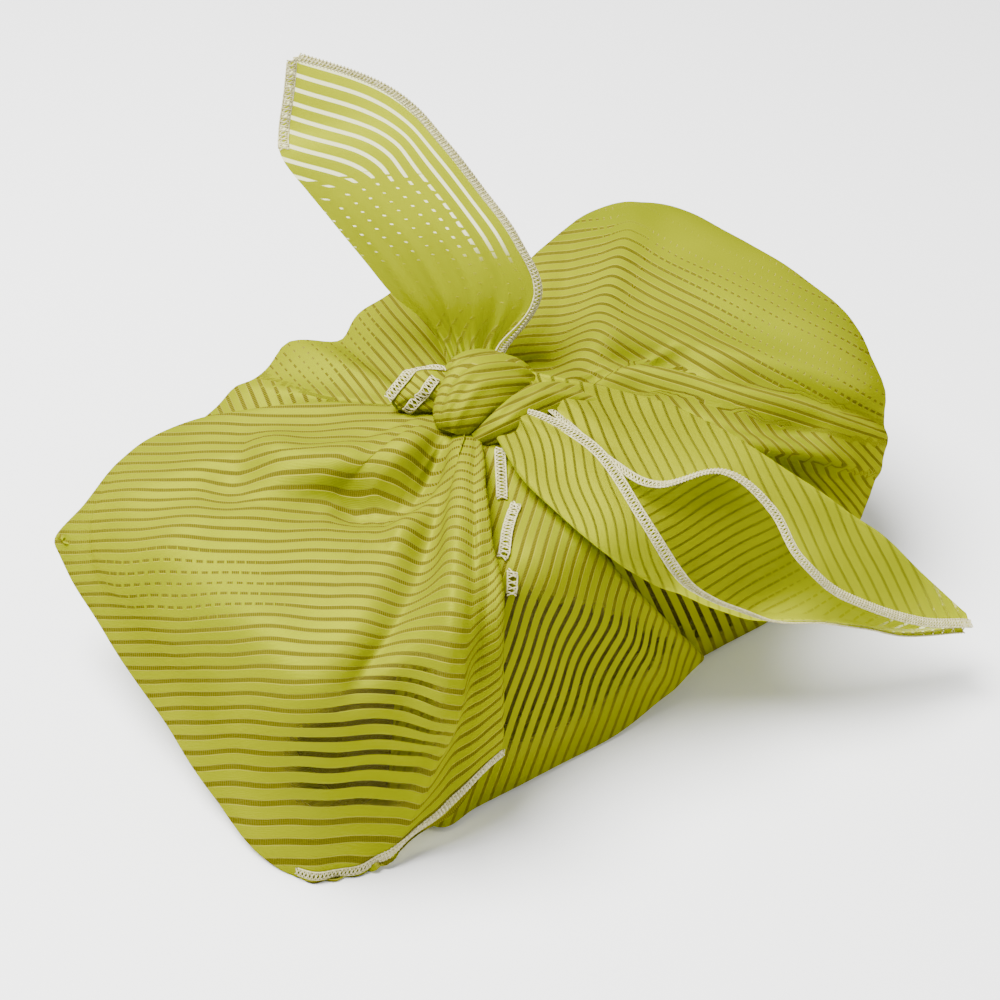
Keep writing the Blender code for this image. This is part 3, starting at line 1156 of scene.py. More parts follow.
class ShaderMaker:
    """Builds one material's node tree."""

    def __init__(self, name: str) -> None:
        """Start a material with one Principled shader.

        Args:
            name: the material's name.
        """
        self.material = bpy.data.materials.new(name)
        self.material.use_nodes = True
        self.tree = self.material.node_tree
        self.shader = self.tree.nodes["Principled BSDF"]

    def node(self, kind: str, settings: dict, inputs: dict) -> bpy.types.Node:
        """Add a node.

        Args:
            kind: the node's type.
            settings: its properties, set first.
            inputs: values, sockets or Values for its sockets.

        Returns:
            The node.
        """
        node = self.tree.nodes.new(kind)
        for key, value in settings.items():
            setattr(node, key, value)
        for key, value in inputs.items():
            self.feed(node.inputs[key], value)
        return node

    def feed(self, socket: bpy.types.NodeSocket, value: object) -> None:
        """Set a socket, or link it to what makes its value.

        Args:
            socket: an input.
            value: a number, colour, socket or Value.
        """
        if isinstance(value, Value):
            self.tree.links.new(value.socket, socket)
        elif isinstance(value, bpy.types.NodeSocket):
            self.tree.links.new(value, socket)
        else:
            socket.default_value = value

    def value(self, socket: bpy.types.NodeSocket) -> Value:
        """Wrap a socket for arithmetic."""
        return Value(self, socket)

    def attribute(self, name: str) -> Value:
        """Read one of the mesh's own attributes."""
        node = self.node("ShaderNodeAttribute", {"attribute_name": name}, {})
        return self.value(node.outputs["Fac"])

    def mixed(self, share: Operand, first: object, second: object) -> bpy.types.NodeSocket:
        """Blend two colours.

        Args:
            share: share of the second.
            first: colour at 0.
            second: colour at 1.

        Returns:
            The blend's socket.
        """
        node = self.node(
            "ShaderNodeMix", {"data_type": "RGBA"}, {0: share, 6: first, 7: second}
        )
        return node.outputs[2]

    def noise(self, scale: float, detail: float, source: bpy.types.NodeSocket) -> Value:
        """Soft noise on a vector.

        Args:
            scale: the noise's scale.
            detail: its finer octaves.
            source: the vector.

        Returns:
            The noise, from 0 to 1.
        """
        node = self.node(
            "ShaderNodeTexNoise",
            {},
            {"Vector": source, "Scale": scale, "Detail": detail},
        )
        return self.value(node.outputs["Fac"])

    def surface(self, **sockets: object) -> bpy.types.NodeSocket:
        """Feed the Principled shader's sockets and return its output.

        Args:
            sockets: inputs by name, with _ for a space.

        Returns:
            The shader's output.
        """
        for name, value in sockets.items():
            self.feed(self.shader.inputs[name.replace("_", " ")], value)
        return self.shader.outputs[0]

    def finished(self, shader: bpy.types.NodeSocket) -> bpy.types.Material:
        """Show a shader's output on the surface and return the material.

        Args:
            shader: the output to show.

        Returns:
            The material.
        """
        output = self.tree.nodes["Material Output"]
        self.tree.links.new(shader, output.inputs["Surface"])
        return self.material


Colour = tuple[float, float, float, float]


@dataclass(frozen=True)
class StripedCloth:
    """Satin cloth with woven sheer stripes that break into dashes and dots.

    Args:
        pitch: distance from stripe to stripe in millimetres.
        sheer_share: share of the pitch that is sheer.
        dash_pitch: distance from dash to dash in millimetres.
        thread_pitch: distance between the threads that cross a sheer stripe.
        rib_pitch: distance between the satin's fine ribs.
        edge: softness of a stripe's or dash's edge as a share of the pitch.
        rim: width of the pale rim beside a stripe, the same way.
        rim_share: how much of the pale colour the rim has.
        wander: how much the cover differs from stripe to stripe.
        narrowing: how much narrower the stripes are where light comes through.
        satin: the satin's colour, with a deeper one for cloudy patches of painted sheen and a lit
            one painted where light comes through from behind.
        backed: a sheer stripe with another layer behind it.
        clear: a sheer stripe with nothing behind it.
        pale: the threads and the stripes' rims, and the dots, where the pale colour is painted
            light coming through them.
        through: light that comes through the satin.
        tint: what is seen through a sheer stripe.
        glow: share of light that comes through cloth with a layer behind it.
        lit_glow: how much that share grows where light falls on it from behind.
        full_light: the airiness past which it grows no more.
        clear_alpha: share of a sheer stripe that is thread.
        lit_alpha: how much that share grows where light comes through.
    """

    pitch: float = 4.5
    sheer_share: float = 0.36
    dash_pitch: float = 3.4
    thread_pitch: float = 0.62
    rib_pitch: float = 0.42
    edge: float = 0.05
    rim: float = 0.045
    rim_share: float = 0.55
    wander: float = 0.16
    narrowing: float = 0.45
    satin: Colour = (0.268, 0.282, 0.0, 1.0)
    satin_less_sheen: Colour = (0.170, 0.196, 0.0, 1.0)
    satin_lit: Colour = (0.400, 0.415, 0.0, 1.0)
    backed: Colour = (0.078, 0.068, 0.0, 1.0)
    clear: Colour = (0.22, 0.19, 0.02, 1.0)
    pale: Colour = (0.38, 0.36, 0.05, 1.0)
    through: Colour = (0.60, 0.66, 0.0, 1.0)
    tint: Colour = (0.90, 0.90, 0.52, 1.0)
    glow: float = 0.18
    lit_glow: float = 0.62
    full_light: float = 0.65
    clear_alpha: float = 0.16
    lit_alpha: float = 0.32

    def build(self) -> bpy.types.Material:
        """Make the cloth's material.

        Returns:
            The material.
        """
        maker = ShaderMaker("striped_cloth_finish")
        flat = maker.node("ShaderNodeUVMap", {"uv_map": "flat_cloth"}, {})
        parts = maker.node("ShaderNodeSeparateXYZ", {}, {0: flat.outputs[0]})
        along = maker.value(parts.outputs[0]) * UV_UNIT
        across = maker.value(parts.outputs[1]) * UV_UNIT
        place = maker.node("ShaderNodeTexCoord", {}, {}).outputs["Object"]
        backing = maker.attribute("backing").clipped()

        stripe = across / self.pitch
        number = stripe.floor()
        middle = abs(stripe.fract() - 0.5)
        chance = maker.node(
            "ShaderNodeTexWhiteNoise", {"noise_dimensions": "1D"}, {"W": number}
        )
        wander = (maker.value(chance.outputs["Value"]) - 0.5) * self.wander
        cover = maker.attribute("cover") + wander
        duty = (1.16 - cover * 1.12).most(0.0)
        airy = maker.attribute("airy")
        widest = (1.0 - airy * self.narrowing) * (0.5 * self.sheer_share)
        half = (duty * 0.5 + 0.5).least(1.0) * widest
        band = ((half - middle) / self.edge + 0.5).clipped()
        stagger = (number * 0.5).fract()
        place_in_dash = abs((along / self.dash_pitch + stagger).fract() - 0.5)
        dash = ((duty * 0.5 - place_in_dash) / self.edge + 0.5).clipped()
        open_dash = (duty * 20.0 - 1.0).clipped()
        sheer = band * dash * open_dash
        rim = (1.0 - abs(middle - half) / self.rim).clipped() * dash * open_dash

        threads = (along * (2.0 * math.pi / self.thread_pitch)).sine()
        # Cloudy patches between a deeper and the plain satin: painted sheen.
        sheen_cloud = maker.noise(18.0, 3.0, place)
        satin = maker.mixed((sheen_cloud * 1.6 - 0.3).clipped(), self.satin_less_sheen, self.satin)
        # Painted light: the satin is lighter where light falls on the cloth from behind.
        satin = maker.mixed(((airy - 0.5) * 6.0).clipped(), satin, self.satin_lit)
        veil = maker.mixed(backing, self.clear, self.backed)
        # The threads are pale of their own; the dots, where the weave is plain, are painted pale
        # for light that comes through them.
        pale_threads_and_lit_dots = threads * 0.18 + (cover - 0.7).most(0.0) * 2.0 + 0.12
        veil = maker.mixed(pale_threads_and_lit_dots.clipped(), veil, self.pale)
        base = maker.mixed(sheer, satin, veil)
        base = maker.mixed(rim * self.rim_share, base, self.pale)

        ribs = (across * (2.0 * math.pi / self.rib_pitch)).sine()
        height = (1.0 - sheer) * 0.8 + ribs * 0.07 + threads * sheer * 0.22
        bump = maker.node(
            "ShaderNodeBump",
            {},
            {"Strength": 0.55, "Distance": 0.00034, "Height": height},
        )
        body = maker.surface(
            Base_Color=base,
            Roughness=sheer * 0.15 + 0.48,
            Metallic=(1.0 - sheer) * 0.18,
            Normal=bump.outputs[0],
            Specular_IOR_Level=0.0,
            Specular_Tint=(1.0, 0.95, 0.10, 1.0),
        )
        lit_through = maker.node("ShaderNodeBsdfTranslucent", {}, {"Color": self.through})
        glow = airy.least(self.full_light) * self.lit_glow + self.glow
        cloth = maker.node(
            "ShaderNodeMixShader", {}, {0: glow, 1: body, 2: lit_through.outputs[0]}
        )
        clear = maker.node("ShaderNodeBsdfTransparent", {}, {"Color": self.tint})
        bare = 1.0 - self.clear_alpha - airy * self.lit_alpha
        share = sheer * (1.0 - backing) * bare
        veiled = maker.node(
            "ShaderNodeMixShader", {}, {0: share, 1: cloth.outputs[0], 2: clear.outputs[0]}
        )
        return maker.finished(veiled.outputs[0])


@dataclass(frozen=True)
class GrainFinish:
    """Matt surface with a fine grain between two colours.

    Args:
        name: the material's name.
        light: colour where the grain is high.
        dark: colour where it is low.
        grain: scale and detail of the noise.
        contrast: gain and offset from the grain to the share of the light colour.
        roughness: roughness at the least, and how much the grain adds.
        relief: strength of the bump, and its height in metres.
    """

    name: str
    light: Colour
    dark: Colour
    grain: tuple[float, float]
    contrast: tuple[float, float]
    roughness: tuple[float, float]
    relief: tuple[float, float]

    def build(self) -> bpy.types.Material:
        """Make the material.

        Returns:
            The material.
        """
        maker = ShaderMaker(self.name)
        place = maker.node("ShaderNodeTexCoord", {}, {}).outputs["Object"]
        grain = maker.noise(*self.grain, place)
        share = (grain * self.contrast[0] + self.contrast[1]).clipped()
        relief = {"Strength": self.relief[0], "Distance": self.relief[1], "Height": grain}
        bump = maker.node("ShaderNodeBump", {}, relief)
        skin = maker.surface(
            Base_Color=maker.mixed(share, self.dark, self.light),
            Roughness=grain * self.roughness[1] + self.roughness[0],
            Normal=bump.outputs[0],
        )
        return maker.finished(skin)


HEM_THREAD = GrainFinish(
    "overlock_thread_finish",
    light=(0.62, 0.58, 0.34, 1.0),
    dark=(0.34, 0.31, 0.11, 1.0),
    grain=(1500.0, 2.0),
    contrast=(2.4, -0.8),
    roughness=(0.8, 0.0),
    relief=(0.4, 0.0001),
)
BOARD = GrainFinish(
    "plain_board_finish",
    light=(0.060, 0.038, 0.022, 1.0),
    dark=(0.030, 0.019, 0.012, 1.0),
    grain=(260.0, 5.0),
    contrast=(1.0, 0.0),
    roughness=(0.65, 0.2),
    relief=(0.2, 0.0002),
)


@dataclass(frozen=True)
class FloorFinish:
    """Plain pale studio floor."""

    colour: Colour = (0.94, 0.94, 0.94, 1.0)

    def build(self) -> bpy.types.Material:
        """Make the floor's material."""
        maker = ShaderMaker("studio_floor_finish")
        return maker.finished(maker.surface(Base_Color=self.colour, Roughness=0.7))


@dataclass
class Wrap:
    """Closed wrap of cloth round the box.

    Args:
        columns: points round the wrap.
        rows: points from the knot to the turned-in foot.
        slack: height of the slack cloth's swells in millimetres.
        ply_gap: how far inside the wrap the second ply lies.
        level_stripes: how straight the stripes look across the folds, from 0 to 1.
    """

    columns: int = 360
    rows: int = 100
    slack: float = 0.35
    ply_gap: float = 1.4
    level_stripes: float = 0.65

    def patch(self) -> Patch:
        """Build the wrap.

        Returns:
            The wrap's cloth, with its faces under the wing's and flap's windows left out.
        """
        cage = []
        for row in WRAP_SECTIONS:
            shoulder = table_point(row, "s")
            foot = np.array([row.fx, row.fy, FOOT_HEIGHT], float)
            neck = (NECK_RADIUS, NECK_HEIGHT)
            points, out = meridian(shoulder, foot, row.rise, row.belly, neck, row.turn)
            points.append(foot - out * FOOT_TURN - np.array([0.0, 0.0, FOOT_HEIGHT]))
            cage.append(points)
        grid = loft(cage, self.columns, self.rows, closed=True)
        folds = list(WRAP_FOLDS) + gathers(11, -110.0, 250.0, count=44, height=1.0)
        folded = crease_grid(fold_grid(grid, folds), WRAP_CREASES)
        along, across = self.flat(grid + (folded - grid) * self.level_stripes)
        folded = slack_grid(folded, seed=3, size=30.0, height=self.slack)
        folded[..., 2] = np.maximum(folded[..., 2], LOWEST)
        away = np.clip(-6.0 * (grid_normals(grid) @ VIEW_BACK), 0.0, 1.0)
        left_end = away * ramp(grid[..., 0], -92.0, -6.0)
        return Patch(
            folded,
            along,
            across,
            np.maximum(spot_cover(grid, WRAP_SPOTS), left_end),
            1.0 - RIGHT_WINDOW.inside(grid),
            closed=True,
            hole=self.windows(grid),
        )

    def windows(self, grid: np.ndarray) -> np.ndarray:
        """Faces left out under the wing and the flap, so that the box shows through one layer.

        Args:
            grid: points in millimetres, columns by rows.

        Returns:
            Whether each face is left out.
        """
        under = np.maximum(WING_WINDOW.inside(grid), FLAP_WINDOW.inside(grid))
        facing = (grid_normals(grid) @ VIEW_BACK) > 0.15
        gone = (under > OPEN_SHARE) & facing & (grid[..., 2] > OPEN_HEIGHT)
        gone = gone & np.roll(gone, -1, axis=0)
        return gone[:, :-1] & gone[:, 1:]

    def inner_ply(self, patch: Patch) -> Patch:
        """Second ply, which stands for the corners folded in against the box.

        Args:
            patch: the wrap's own cloth.

        Returns:
            The ply, a little inside the wrap.
        """
        rows = slice(8, int(0.95 * self.rows), 2)
        pick = (slice(None, None, 2), rows)
        points = (patch.points - grid_normals(patch.points) * self.ply_gap)[pick]
        open_front = RIGHT_WINDOW.inside(patch.points)[pick] > 0.5
        hole = self.windows(patch.points[pick]) | open_front[:, :-1] | open_front[:, 1:]
        along, across = (
            np.concatenate([flat[:-1:2, rows], flat[-1:, rows]])
            for flat in (patch.across, patch.along)
        )
        whole, backed = np.zeros(points.shape[:2]), np.ones(points.shape[:2])
        return Patch(points, along, across, whole, backed, closed=True, hole=hole)

    def underside(self, patch: Patch) -> Patch:
        """Cloth that lies flat under the box.

        Args:
            patch: the wrap's own cloth.

        Returns:
            The cloth from the turned-in foot to the middle of the underside.
        """
        ring = patch.points[::3, -1]
        middle = np.array([BOX_DESIGN_CENTRE[0], BOX_DESIGN_CENTRE[1], 0.4])
        inward = np.linspace(0.0, 0.985, 14)[None, :, None]
        points = ring[:, None] + (middle - ring)[:, None] * inward
        looped = np.concatenate([points, points[:1]])
        whole, backed = np.zeros(points.shape[:2]), np.ones(points.shape[:2])
        return Patch(points, looped[..., 0], looped[..., 1], whole, backed, closed=True)

    def flat(self, grid: np.ndarray) -> tuple[np.ndarray, np.ndarray]:
        """Stripe coordinates of a grid, with the first column again at the end.

        Args:
            grid: points in millimetres, columns by rows.

        Returns:
            Distances along and across the stripes.
        """
        ring = np.concatenate([grid, grid[:1]])
        right, down = seen(ring)
        first = WRAP_FIELDS[0]
        along, across = stripe_ways(right, down, first.tilt, first.scale)
        before, base = first, 0.0
        for item in WRAP_FIELDS[1:]:
            at = (np.array(item.right), np.array(item.down))
            anchor = stripe_ways(*at, before.tilt, before.scale)[1] + base
            base = float(anchor - stripe_ways(*at, item.tilt, item.scale)[1])
            signed = off_line(right, down, item.line)[1]
            share = np.clip(0.5 - signed / item.soft, 0.0, 1.0)
            share = share * share * (3.0 - 2.0 * share)
            new_along, new_across = stripe_ways(right, down, item.tilt, item.scale)
            along = along + (new_along - along) * share
            across = across + (new_across + base - across) * share
            before = item
        wave = 0.3 * np.sin(along / 9.0 + 0.05 * across)
        return along, across + wave


@dataclass
class OpenLayer:
    """Layer of cloth over the wrap, lofted from a table of meridians.

    Args:
        sections: the meridians, from the first column to the last.
        neck: radius and height of the layer under the knot.
        columns: points across the layer.
        rows: points from the knot to the lower edge.
    """

    sections: tuple[Layer, ...]
    neck: tuple[float, float]
    columns: int
    rows: int

    def grid(self) -> np.ndarray:
        """Smooth grid without its folds.

        Returns:
            The grid's points.
        """
        tucked = any(row.tuck for row in self.sections)
        cage = []
        for row in self.sections:
            foot = table_point(row, "f")
            points, out = meridian(table_point(row, "s"), foot, row.rise, 0.0, self.neck)
            if tucked:
                drop = np.array([0.0, 0.0, min(3.0, 0.3 * row.fz)])
                points.append(foot - out * (row.tuck + 0.5) - drop)
            cage.append(points)
        return loft(cage, self.columns, self.rows)


@dataclass
class LeftWing(OpenLayer):
    """Broad wing of cloth drawn over the left end of the box.

    Args:
        lower_spread: how much the stripes widen lower down.
        strip_slant: how far the stripes turn on the strip beside the front edge.
    """

    sections: tuple[Layer, ...] = WING_SECTIONS
    neck: tuple[float, float] = (12.5, 94.5)
    columns: int = 140
    rows: int = 106
    lower_spread: float = 0.0016
    strip_slant: float = 1.1

    def patch(self) -> Patch:
        """Build the wing.

        Returns:
            The wing's cloth with its stripes level and its free edges rolled.
        """
        grid = self.grid()
        right, down = seen(grid)
        low = (down + 40.0) / 0.70
        across = low - self.lower_spread * np.maximum(low - 40.0, 0.0) ** 2
        strip = np.maximum(off_line(right, down, STRIP_BEND.line)[1], 0.0)
        across = across + self.strip_slant * strip
        along = right / 0.95
        across = across + 0.30 * np.sin(along / 9.0 + 0.04 * across)
        across = across + 0.18 * np.sin(along / 3.7 + 0.09 * across)
        folds = list(WING_FOLDS) + gathers(23, -205.0, -122.0, count=12, height=0.5)
        folded = crease_grid(fold_grid(grid, folds), WING_CREASES)
        folded = slack_grid(folded, seed=5, size=30.0, height=0.5)
        share = even_shares(self.columns).T
        wave = np.sin(share * 62.0) * ramp(share, 0.55, 0.1)
        ruffle = 1.6 * wave * ramp(even_shares(self.rows), 0.82, 0.15)
        folded = folded + grid_normals(grid) * ruffle[..., None]
        folded[..., 2] = np.maximum(folded[..., 2], 0.5)
        cover = spot_cover(grid, WING_SPOTS)
        return Patch(folded, along, across, cover, 1.0 - WING_WINDOW.inside(grid))

    def rolled(self, patch: Patch) -> Patch:
        """Roll the wing's top edge under and its front edge into a narrow strip.

        Args:
            patch: the wing's cloth.

        Returns:
            The cloth with its rolls.
        """
        level = np.linspace(0.0, 1.0, self.rows)
        top = 3.2 * np.clip(level / 0.2, 0.15, 1.0)
        front = 0.8 + 1.2 * ramp(level, 0.0, 0.5)
        front *= np.clip((0.86 - level) / 0.12, 0.05, 1.0)
        patch = patch.curled(Side.FIRST_COLUMN, top, 170.0, 9, 0.0)
        return patch.curled(Side.LAST_COLUMN, front, 230.0, 12, 0.9)


@dataclass
class FrontFlap(OpenLayer):
    """Flap of cloth down the front of the box.

    Args:
        stripe_tilt: how far the stripes fall to the right, in degrees.
        stripe_scale: width of the stripes as a share of the cloth's own.
    """

    sections: tuple[Layer, ...] = FLAP_SECTIONS
    neck: tuple[float, float] = (13.5, 94.0)
    columns: int = 80
    rows: int = 80
    stripe_tilt: float = 18.0
    stripe_scale: float = 0.69

    def patch(self) -> Patch:
        """Build the flap.

        Returns:
            The flap's cloth with its stripes leaning to the right.
        """
        grid = self.grid()
        tilt = math.radians(self.stripe_tilt)
        ways = VIEW_RIGHT * math.cos(tilt) - VIEW_UP * math.sin(tilt)
        other = VIEW_RIGHT * math.sin(tilt) + VIEW_UP * math.cos(tilt)
        away = grid - np.array(VIEW_TARGET)
        across = away @ ways / self.stripe_scale
        along = away @ other / self.stripe_scale
        folds = gathers(31, -142.0, -92.0, count=8, height=0.6)
        folded = crease_grid(fold_grid(grid, folds), FLAP_CREASES)
        folded = slack_grid(folded, seed=7, size=34.0, height=0.3)
        folded[..., 2] = np.maximum(folded[..., 2], 0.4)
        cover = np.zeros(grid.shape[:2])
        backing = 1.0 - FLAP_WINDOW.inside(grid)
        return Patch(folded, along, across, cover, backing)

    def rolled(self, patch: Patch) -> Patch:
        """Turn the flap's right edge under.

        Args:
            patch: the flap's cloth.

        Returns:
            The cloth with its turned edge.
        """
        level = np.linspace(0.0, 1.0, self.rows)
        turn = 1.8 * np.clip(level / 0.3, 0.2, 1.0)
        return patch.curled(Side.LAST_COLUMN, turn, 200.0, 8, 0.0)


@dataclass
class StandingEar:
    """Single layer of cloth that stands up from the knot to its corner.

    Args:
        across_count: points from hem to hem.
        rows: points from the knot to the corner.
        dots: how plain the dotted parts are.
        close: how much closer together the stripes are.
        airy: how freely light falls on it from behind.
    """

    across_count: int = 56
    rows: int = 96
    dots: float = 0.88
    close: float = 1.13
    airy: float = 0.5

    def patch(self) -> Patch:
        """Build the ear.

        Returns:
            The ear's cloth, with stripes that run beside its right hem.
        """
        cage = []
        steps = even_shares(5).T
        bow = 4.0 * steps * (1.0 - steps)
        for row in EAR_ONE_ROWS:
            left, right = table_point(row, "l"), table_point(row, "r")
            facing = unit(np.cross(right - left, (0.0, 0.6, 0.8)))
            cage.append(left + (right - left) * steps + facing * (bow * row.bulge))
        grid = np.swapaxes(loft(cage, self.rows, self.across_count), 0, 1)
        across = self.beside(grid, grid[-1])
        along = np.broadcast_to(run_length(grid, 1).mean(axis=0), across.shape)
        level, share = even_shares(self.rows), even_shares(self.across_count).T
        fan = np.exp(-((level / 0.30) ** 2))
        pleats = np.sin(share * 30.0 + 3.0 * level) * fan * 1.3
        pleats = pleats + np.sin(share * 61.0 + 5.0 * level + 1.0) * fan * 0.5
        crease = 2.2 * np.exp(-(((share - 0.72) / 0.07) ** 2))
        crease = crease * np.exp(-(((level - 0.25) / 0.2) ** 2))
        folded = grid + grid_normals(grid) * (pleats + crease)[..., None]
        folded = slack_grid(folded, seed=9, size=30.0, height=0.6)
        plain = ramp(across, 47.0, 5.0)
        root = ramp(level, 0.56, -0.05) * ramp(across, 12.0, 4.0)
        root = np.maximum(root, ramp(level, 0.36, -0.05))
        cover = self.dots * np.maximum(plain, root) * ramp(level, 0.12, 0.1)
        backing = ramp(level, 0.40, -0.08) * np.ones_like(share)
        return Patch(folded, along, across * self.close, cover, backing, self.airy)

    def beside(self, grid: np.ndarray, hem: np.ndarray) -> np.ndarray:
        """Distance of each point of a grid from a hem.

        Args:
            grid: points in millimetres, columns by rows.
            hem: the hem's line.

        Returns:
            The distances in millimetres.
        """
        best = np.full(grid.shape[:2], 1e9)
        for start, stop in zip(hem[:-1], hem[1:]):
            way = stop - start
            share = ((grid - start) @ way) / max(float(way @ way), 1e-9)
            foot = start + np.clip(share, 0.0, 1.0)[..., None] * way
            best = np.minimum(best, np.linalg.norm(grid - foot, axis=-1))
        return best


@dataclass
class FoldedEar:
    """Corner of the cloth folded in half, with both of its hems in front.

    Args:
        round_count: points from hem to hem.
        rows: points from the knot to the corner.
        outer_tilt: how far the outside's stripes fall to the right, in degrees.
        inner_tilt: the same of the inner side's.
        front_tilt: the same of the part in front.
        airy: how freely light falls on it from behind.
    """

    round_count: int = 104
    rows: int = 96
    outer_tilt: float = 64.0
    inner_tilt: float = -30.0
    front_tilt: float = 74.0
    airy: float = 0.65

    def patch(self) -> Patch:
        """Build the ear.

        Returns:
            The ear's cloth, with stripes that fan from its corner.
        """
        behind = np.array([0.35, 0.5, -0.55])
        cage = []
        for row in EAR_TWO_ROWS:
            upper, top, bottom, hem = (table_point(row, prefix) for prefix in "utbh")
            back = behind * row.depth
            cage.append(
                [
                    upper,
                    0.45 * upper + 0.55 * top - 0.2 * back,
                    top,
                    (2.0 * top + bottom) / 3.0 + back,
                    (top + 2.0 * bottom) / 3.0 + back,
                    bottom,
                    0.5 * (bottom + hem) - 0.3 * back,
                    hem,
                ]
            )
        grid = np.swapaxes(loft(cage, self.rows, self.round_count), 0, 1)
        right, down = seen(grid)
        level, turn = even_shares(self.rows), even_shares(self.round_count).T
        along, across = stripe_ways(right, down, self.outer_tilt, 0.80)
        bends = ((0.37, self.inner_tilt, 0.74), (0.70, self.front_tilt, 0.72))
        for start, tilt, scale in bends:
            share = np.clip((turn - start) / 0.03 + 0.5, 0.0, 1.0)
            new_along, new_across = stripe_ways(right, down, tilt, scale)
            along = along + (new_along - along) * share
            across = across + (new_across - across) * share
        across = across + 1.1 * np.sin(along / 6.5) * np.clip((turn - 0.6) / 0.1, 0.3, 1.0)
        pleats = np.sin(turn * 40.0) * np.exp(-(((level - 0.1) / 0.16) ** 2)) * 0.8
        folded = grid - grid_normals(grid) * pleats[..., None]
        folded = slack_grid(folded, seed=13, size=24.0, height=0.5)
        cover = 0.8 * ramp(level, 0.55, 0.2) * np.exp(-(((turn - 0.5) / 0.16) ** 2))
        backing = ramp(level, 0.93, -0.08) * np.ones_like(turn)
        return Patch(folded, along, across, cover, backing, self.airy)


@dataclass
class KnotBand:
    """Gathered band of the knot, a tube with folds along it.

    Args:
        name: what the band is; it is not used.
        line: points of its centre line.
        ridges: folds round it.
        depth: their depth as a share of the radius.
        squash: its depth as a share of its width.
        twist: how far the folds turn along it, in radians.
        tilt: how far its stripes fall to the right, in degrees.
        around: points round it.
        lengths: points along it.
    """

    name: str
    line: tuple[BandPoint, ...]
    ridges: int
    depth: float
    squash: float
    twist: float
    tilt: float
    around: int = 72
    lengths: int = 46

    def patch(self) -> Patch:
        """Build the band.

        Returns:
            The band's cloth, closed round its line.
        """
        control = np.array(self.line, float)
        samples = np.linspace(0, len(control) - 1, self.lengths)
        path = spline(control, samples)
        centre, radius = path[:, :3], np.maximum(path[:, 3], 0.4)
        tangent = unit(np.gradient(centre, axis=0))
        side = unit(np.cross(tangent, VIEW_BACK))
        front = np.cross(side, tangent)
        angle = np.linspace(0.0, 2.0 * np.pi, self.around, endpoint=False)[:, None]
        turned = angle + self.twist * even_shares(self.lengths)
        folds = np.sin(self.ridges * turned + 1.3 * np.sin(2.0 * turned))
        folds += 0.5 * np.sin((self.ridges + 4) * turned + 2.0)
        size = radius[None, :] * (1.0 + self.depth * folds)
        grid = (
            centre[None]
            + (size * np.cos(angle))[..., None] * front[None] * self.squash
            + (size * np.sin(angle))[..., None] * side[None]
        )
        ring = np.concatenate([grid, grid[:1]])
        girth = run_length(ring, 0)
        right, down = seen(ring)
        along, across = stripe_ways(right, down, self.tilt, 0.62)
        along = along + 2.0 * np.sin(0.5 * np.pi * np.clip(girth / girth[-1:], 0.0, 1.0))
        whole, backed = np.zeros(grid.shape[:2]), np.ones(grid.shape[:2])
        return Patch(grid[::-1], along[::-1], across[::-1], whole, backed, closed=True)


@dataclass
class Knot:
    """The tied knot: its bands of gathered cloth."""

    bands: tuple[KnotBand, ...] = (
        KnotBand(
            "main_band",
            (
                BandPoint(-17, -6, 93, 5),
                BandPoint(-13, -4, 97, 9),
                BandPoint(-4, -1, 99, 11),
                BandPoint(6, -2, 98, 9.5),
                BandPoint(14, -5, 95, 5),
            ),
            ridges=9,
            depth=0.045,
            squash=0.95,
            twist=0.25,
            tilt=-6.0,
        ),
        KnotBand(
            "left_lobe",
            (
                BandPoint(-8, 5, 96, 7),
                BandPoint(-16, 10, 98, 7),
                BandPoint(-22, 12, 98, 5.5),
                BandPoint(-26, 12, 97, 2.0),
            ),
            ridges=6,
            depth=0.06,
            squash=0.9,
            twist=0.4,
            tilt=38.0,
        ),
        KnotBand(
            "lower_band",
            (
                BandPoint(-13, -12, 93, 2.5),
                BandPoint(-5, -15, 97, 5),
                BandPoint(3, -14, 98, 5.5),
                BandPoint(11, -14, 98, 5.5),
                BandPoint(21, -18, 95, 5),
                BandPoint(34, -27, 89, 4),
            ),
            ridges=5,
            depth=0.06,
            squash=0.95,
            twist=0.6,
            tilt=-24.0,
        ),
        KnotBand(
            "back_band",
            (
                BandPoint(-8, 8, 92, 5),
                BandPoint(0, 11, 97, 7),
                BandPoint(9, 9, 97, 6),
                BandPoint(17, 4, 94, 3),
            ),
            ridges=6,
            depth=0.06,
            squash=0.95,
            twist=0.3,
            tilt=-10.0,
        ),
    )

    def patches(self) -> list[Patch]:
        """Build every band."""
        return [band.patch() for band in self.bands]


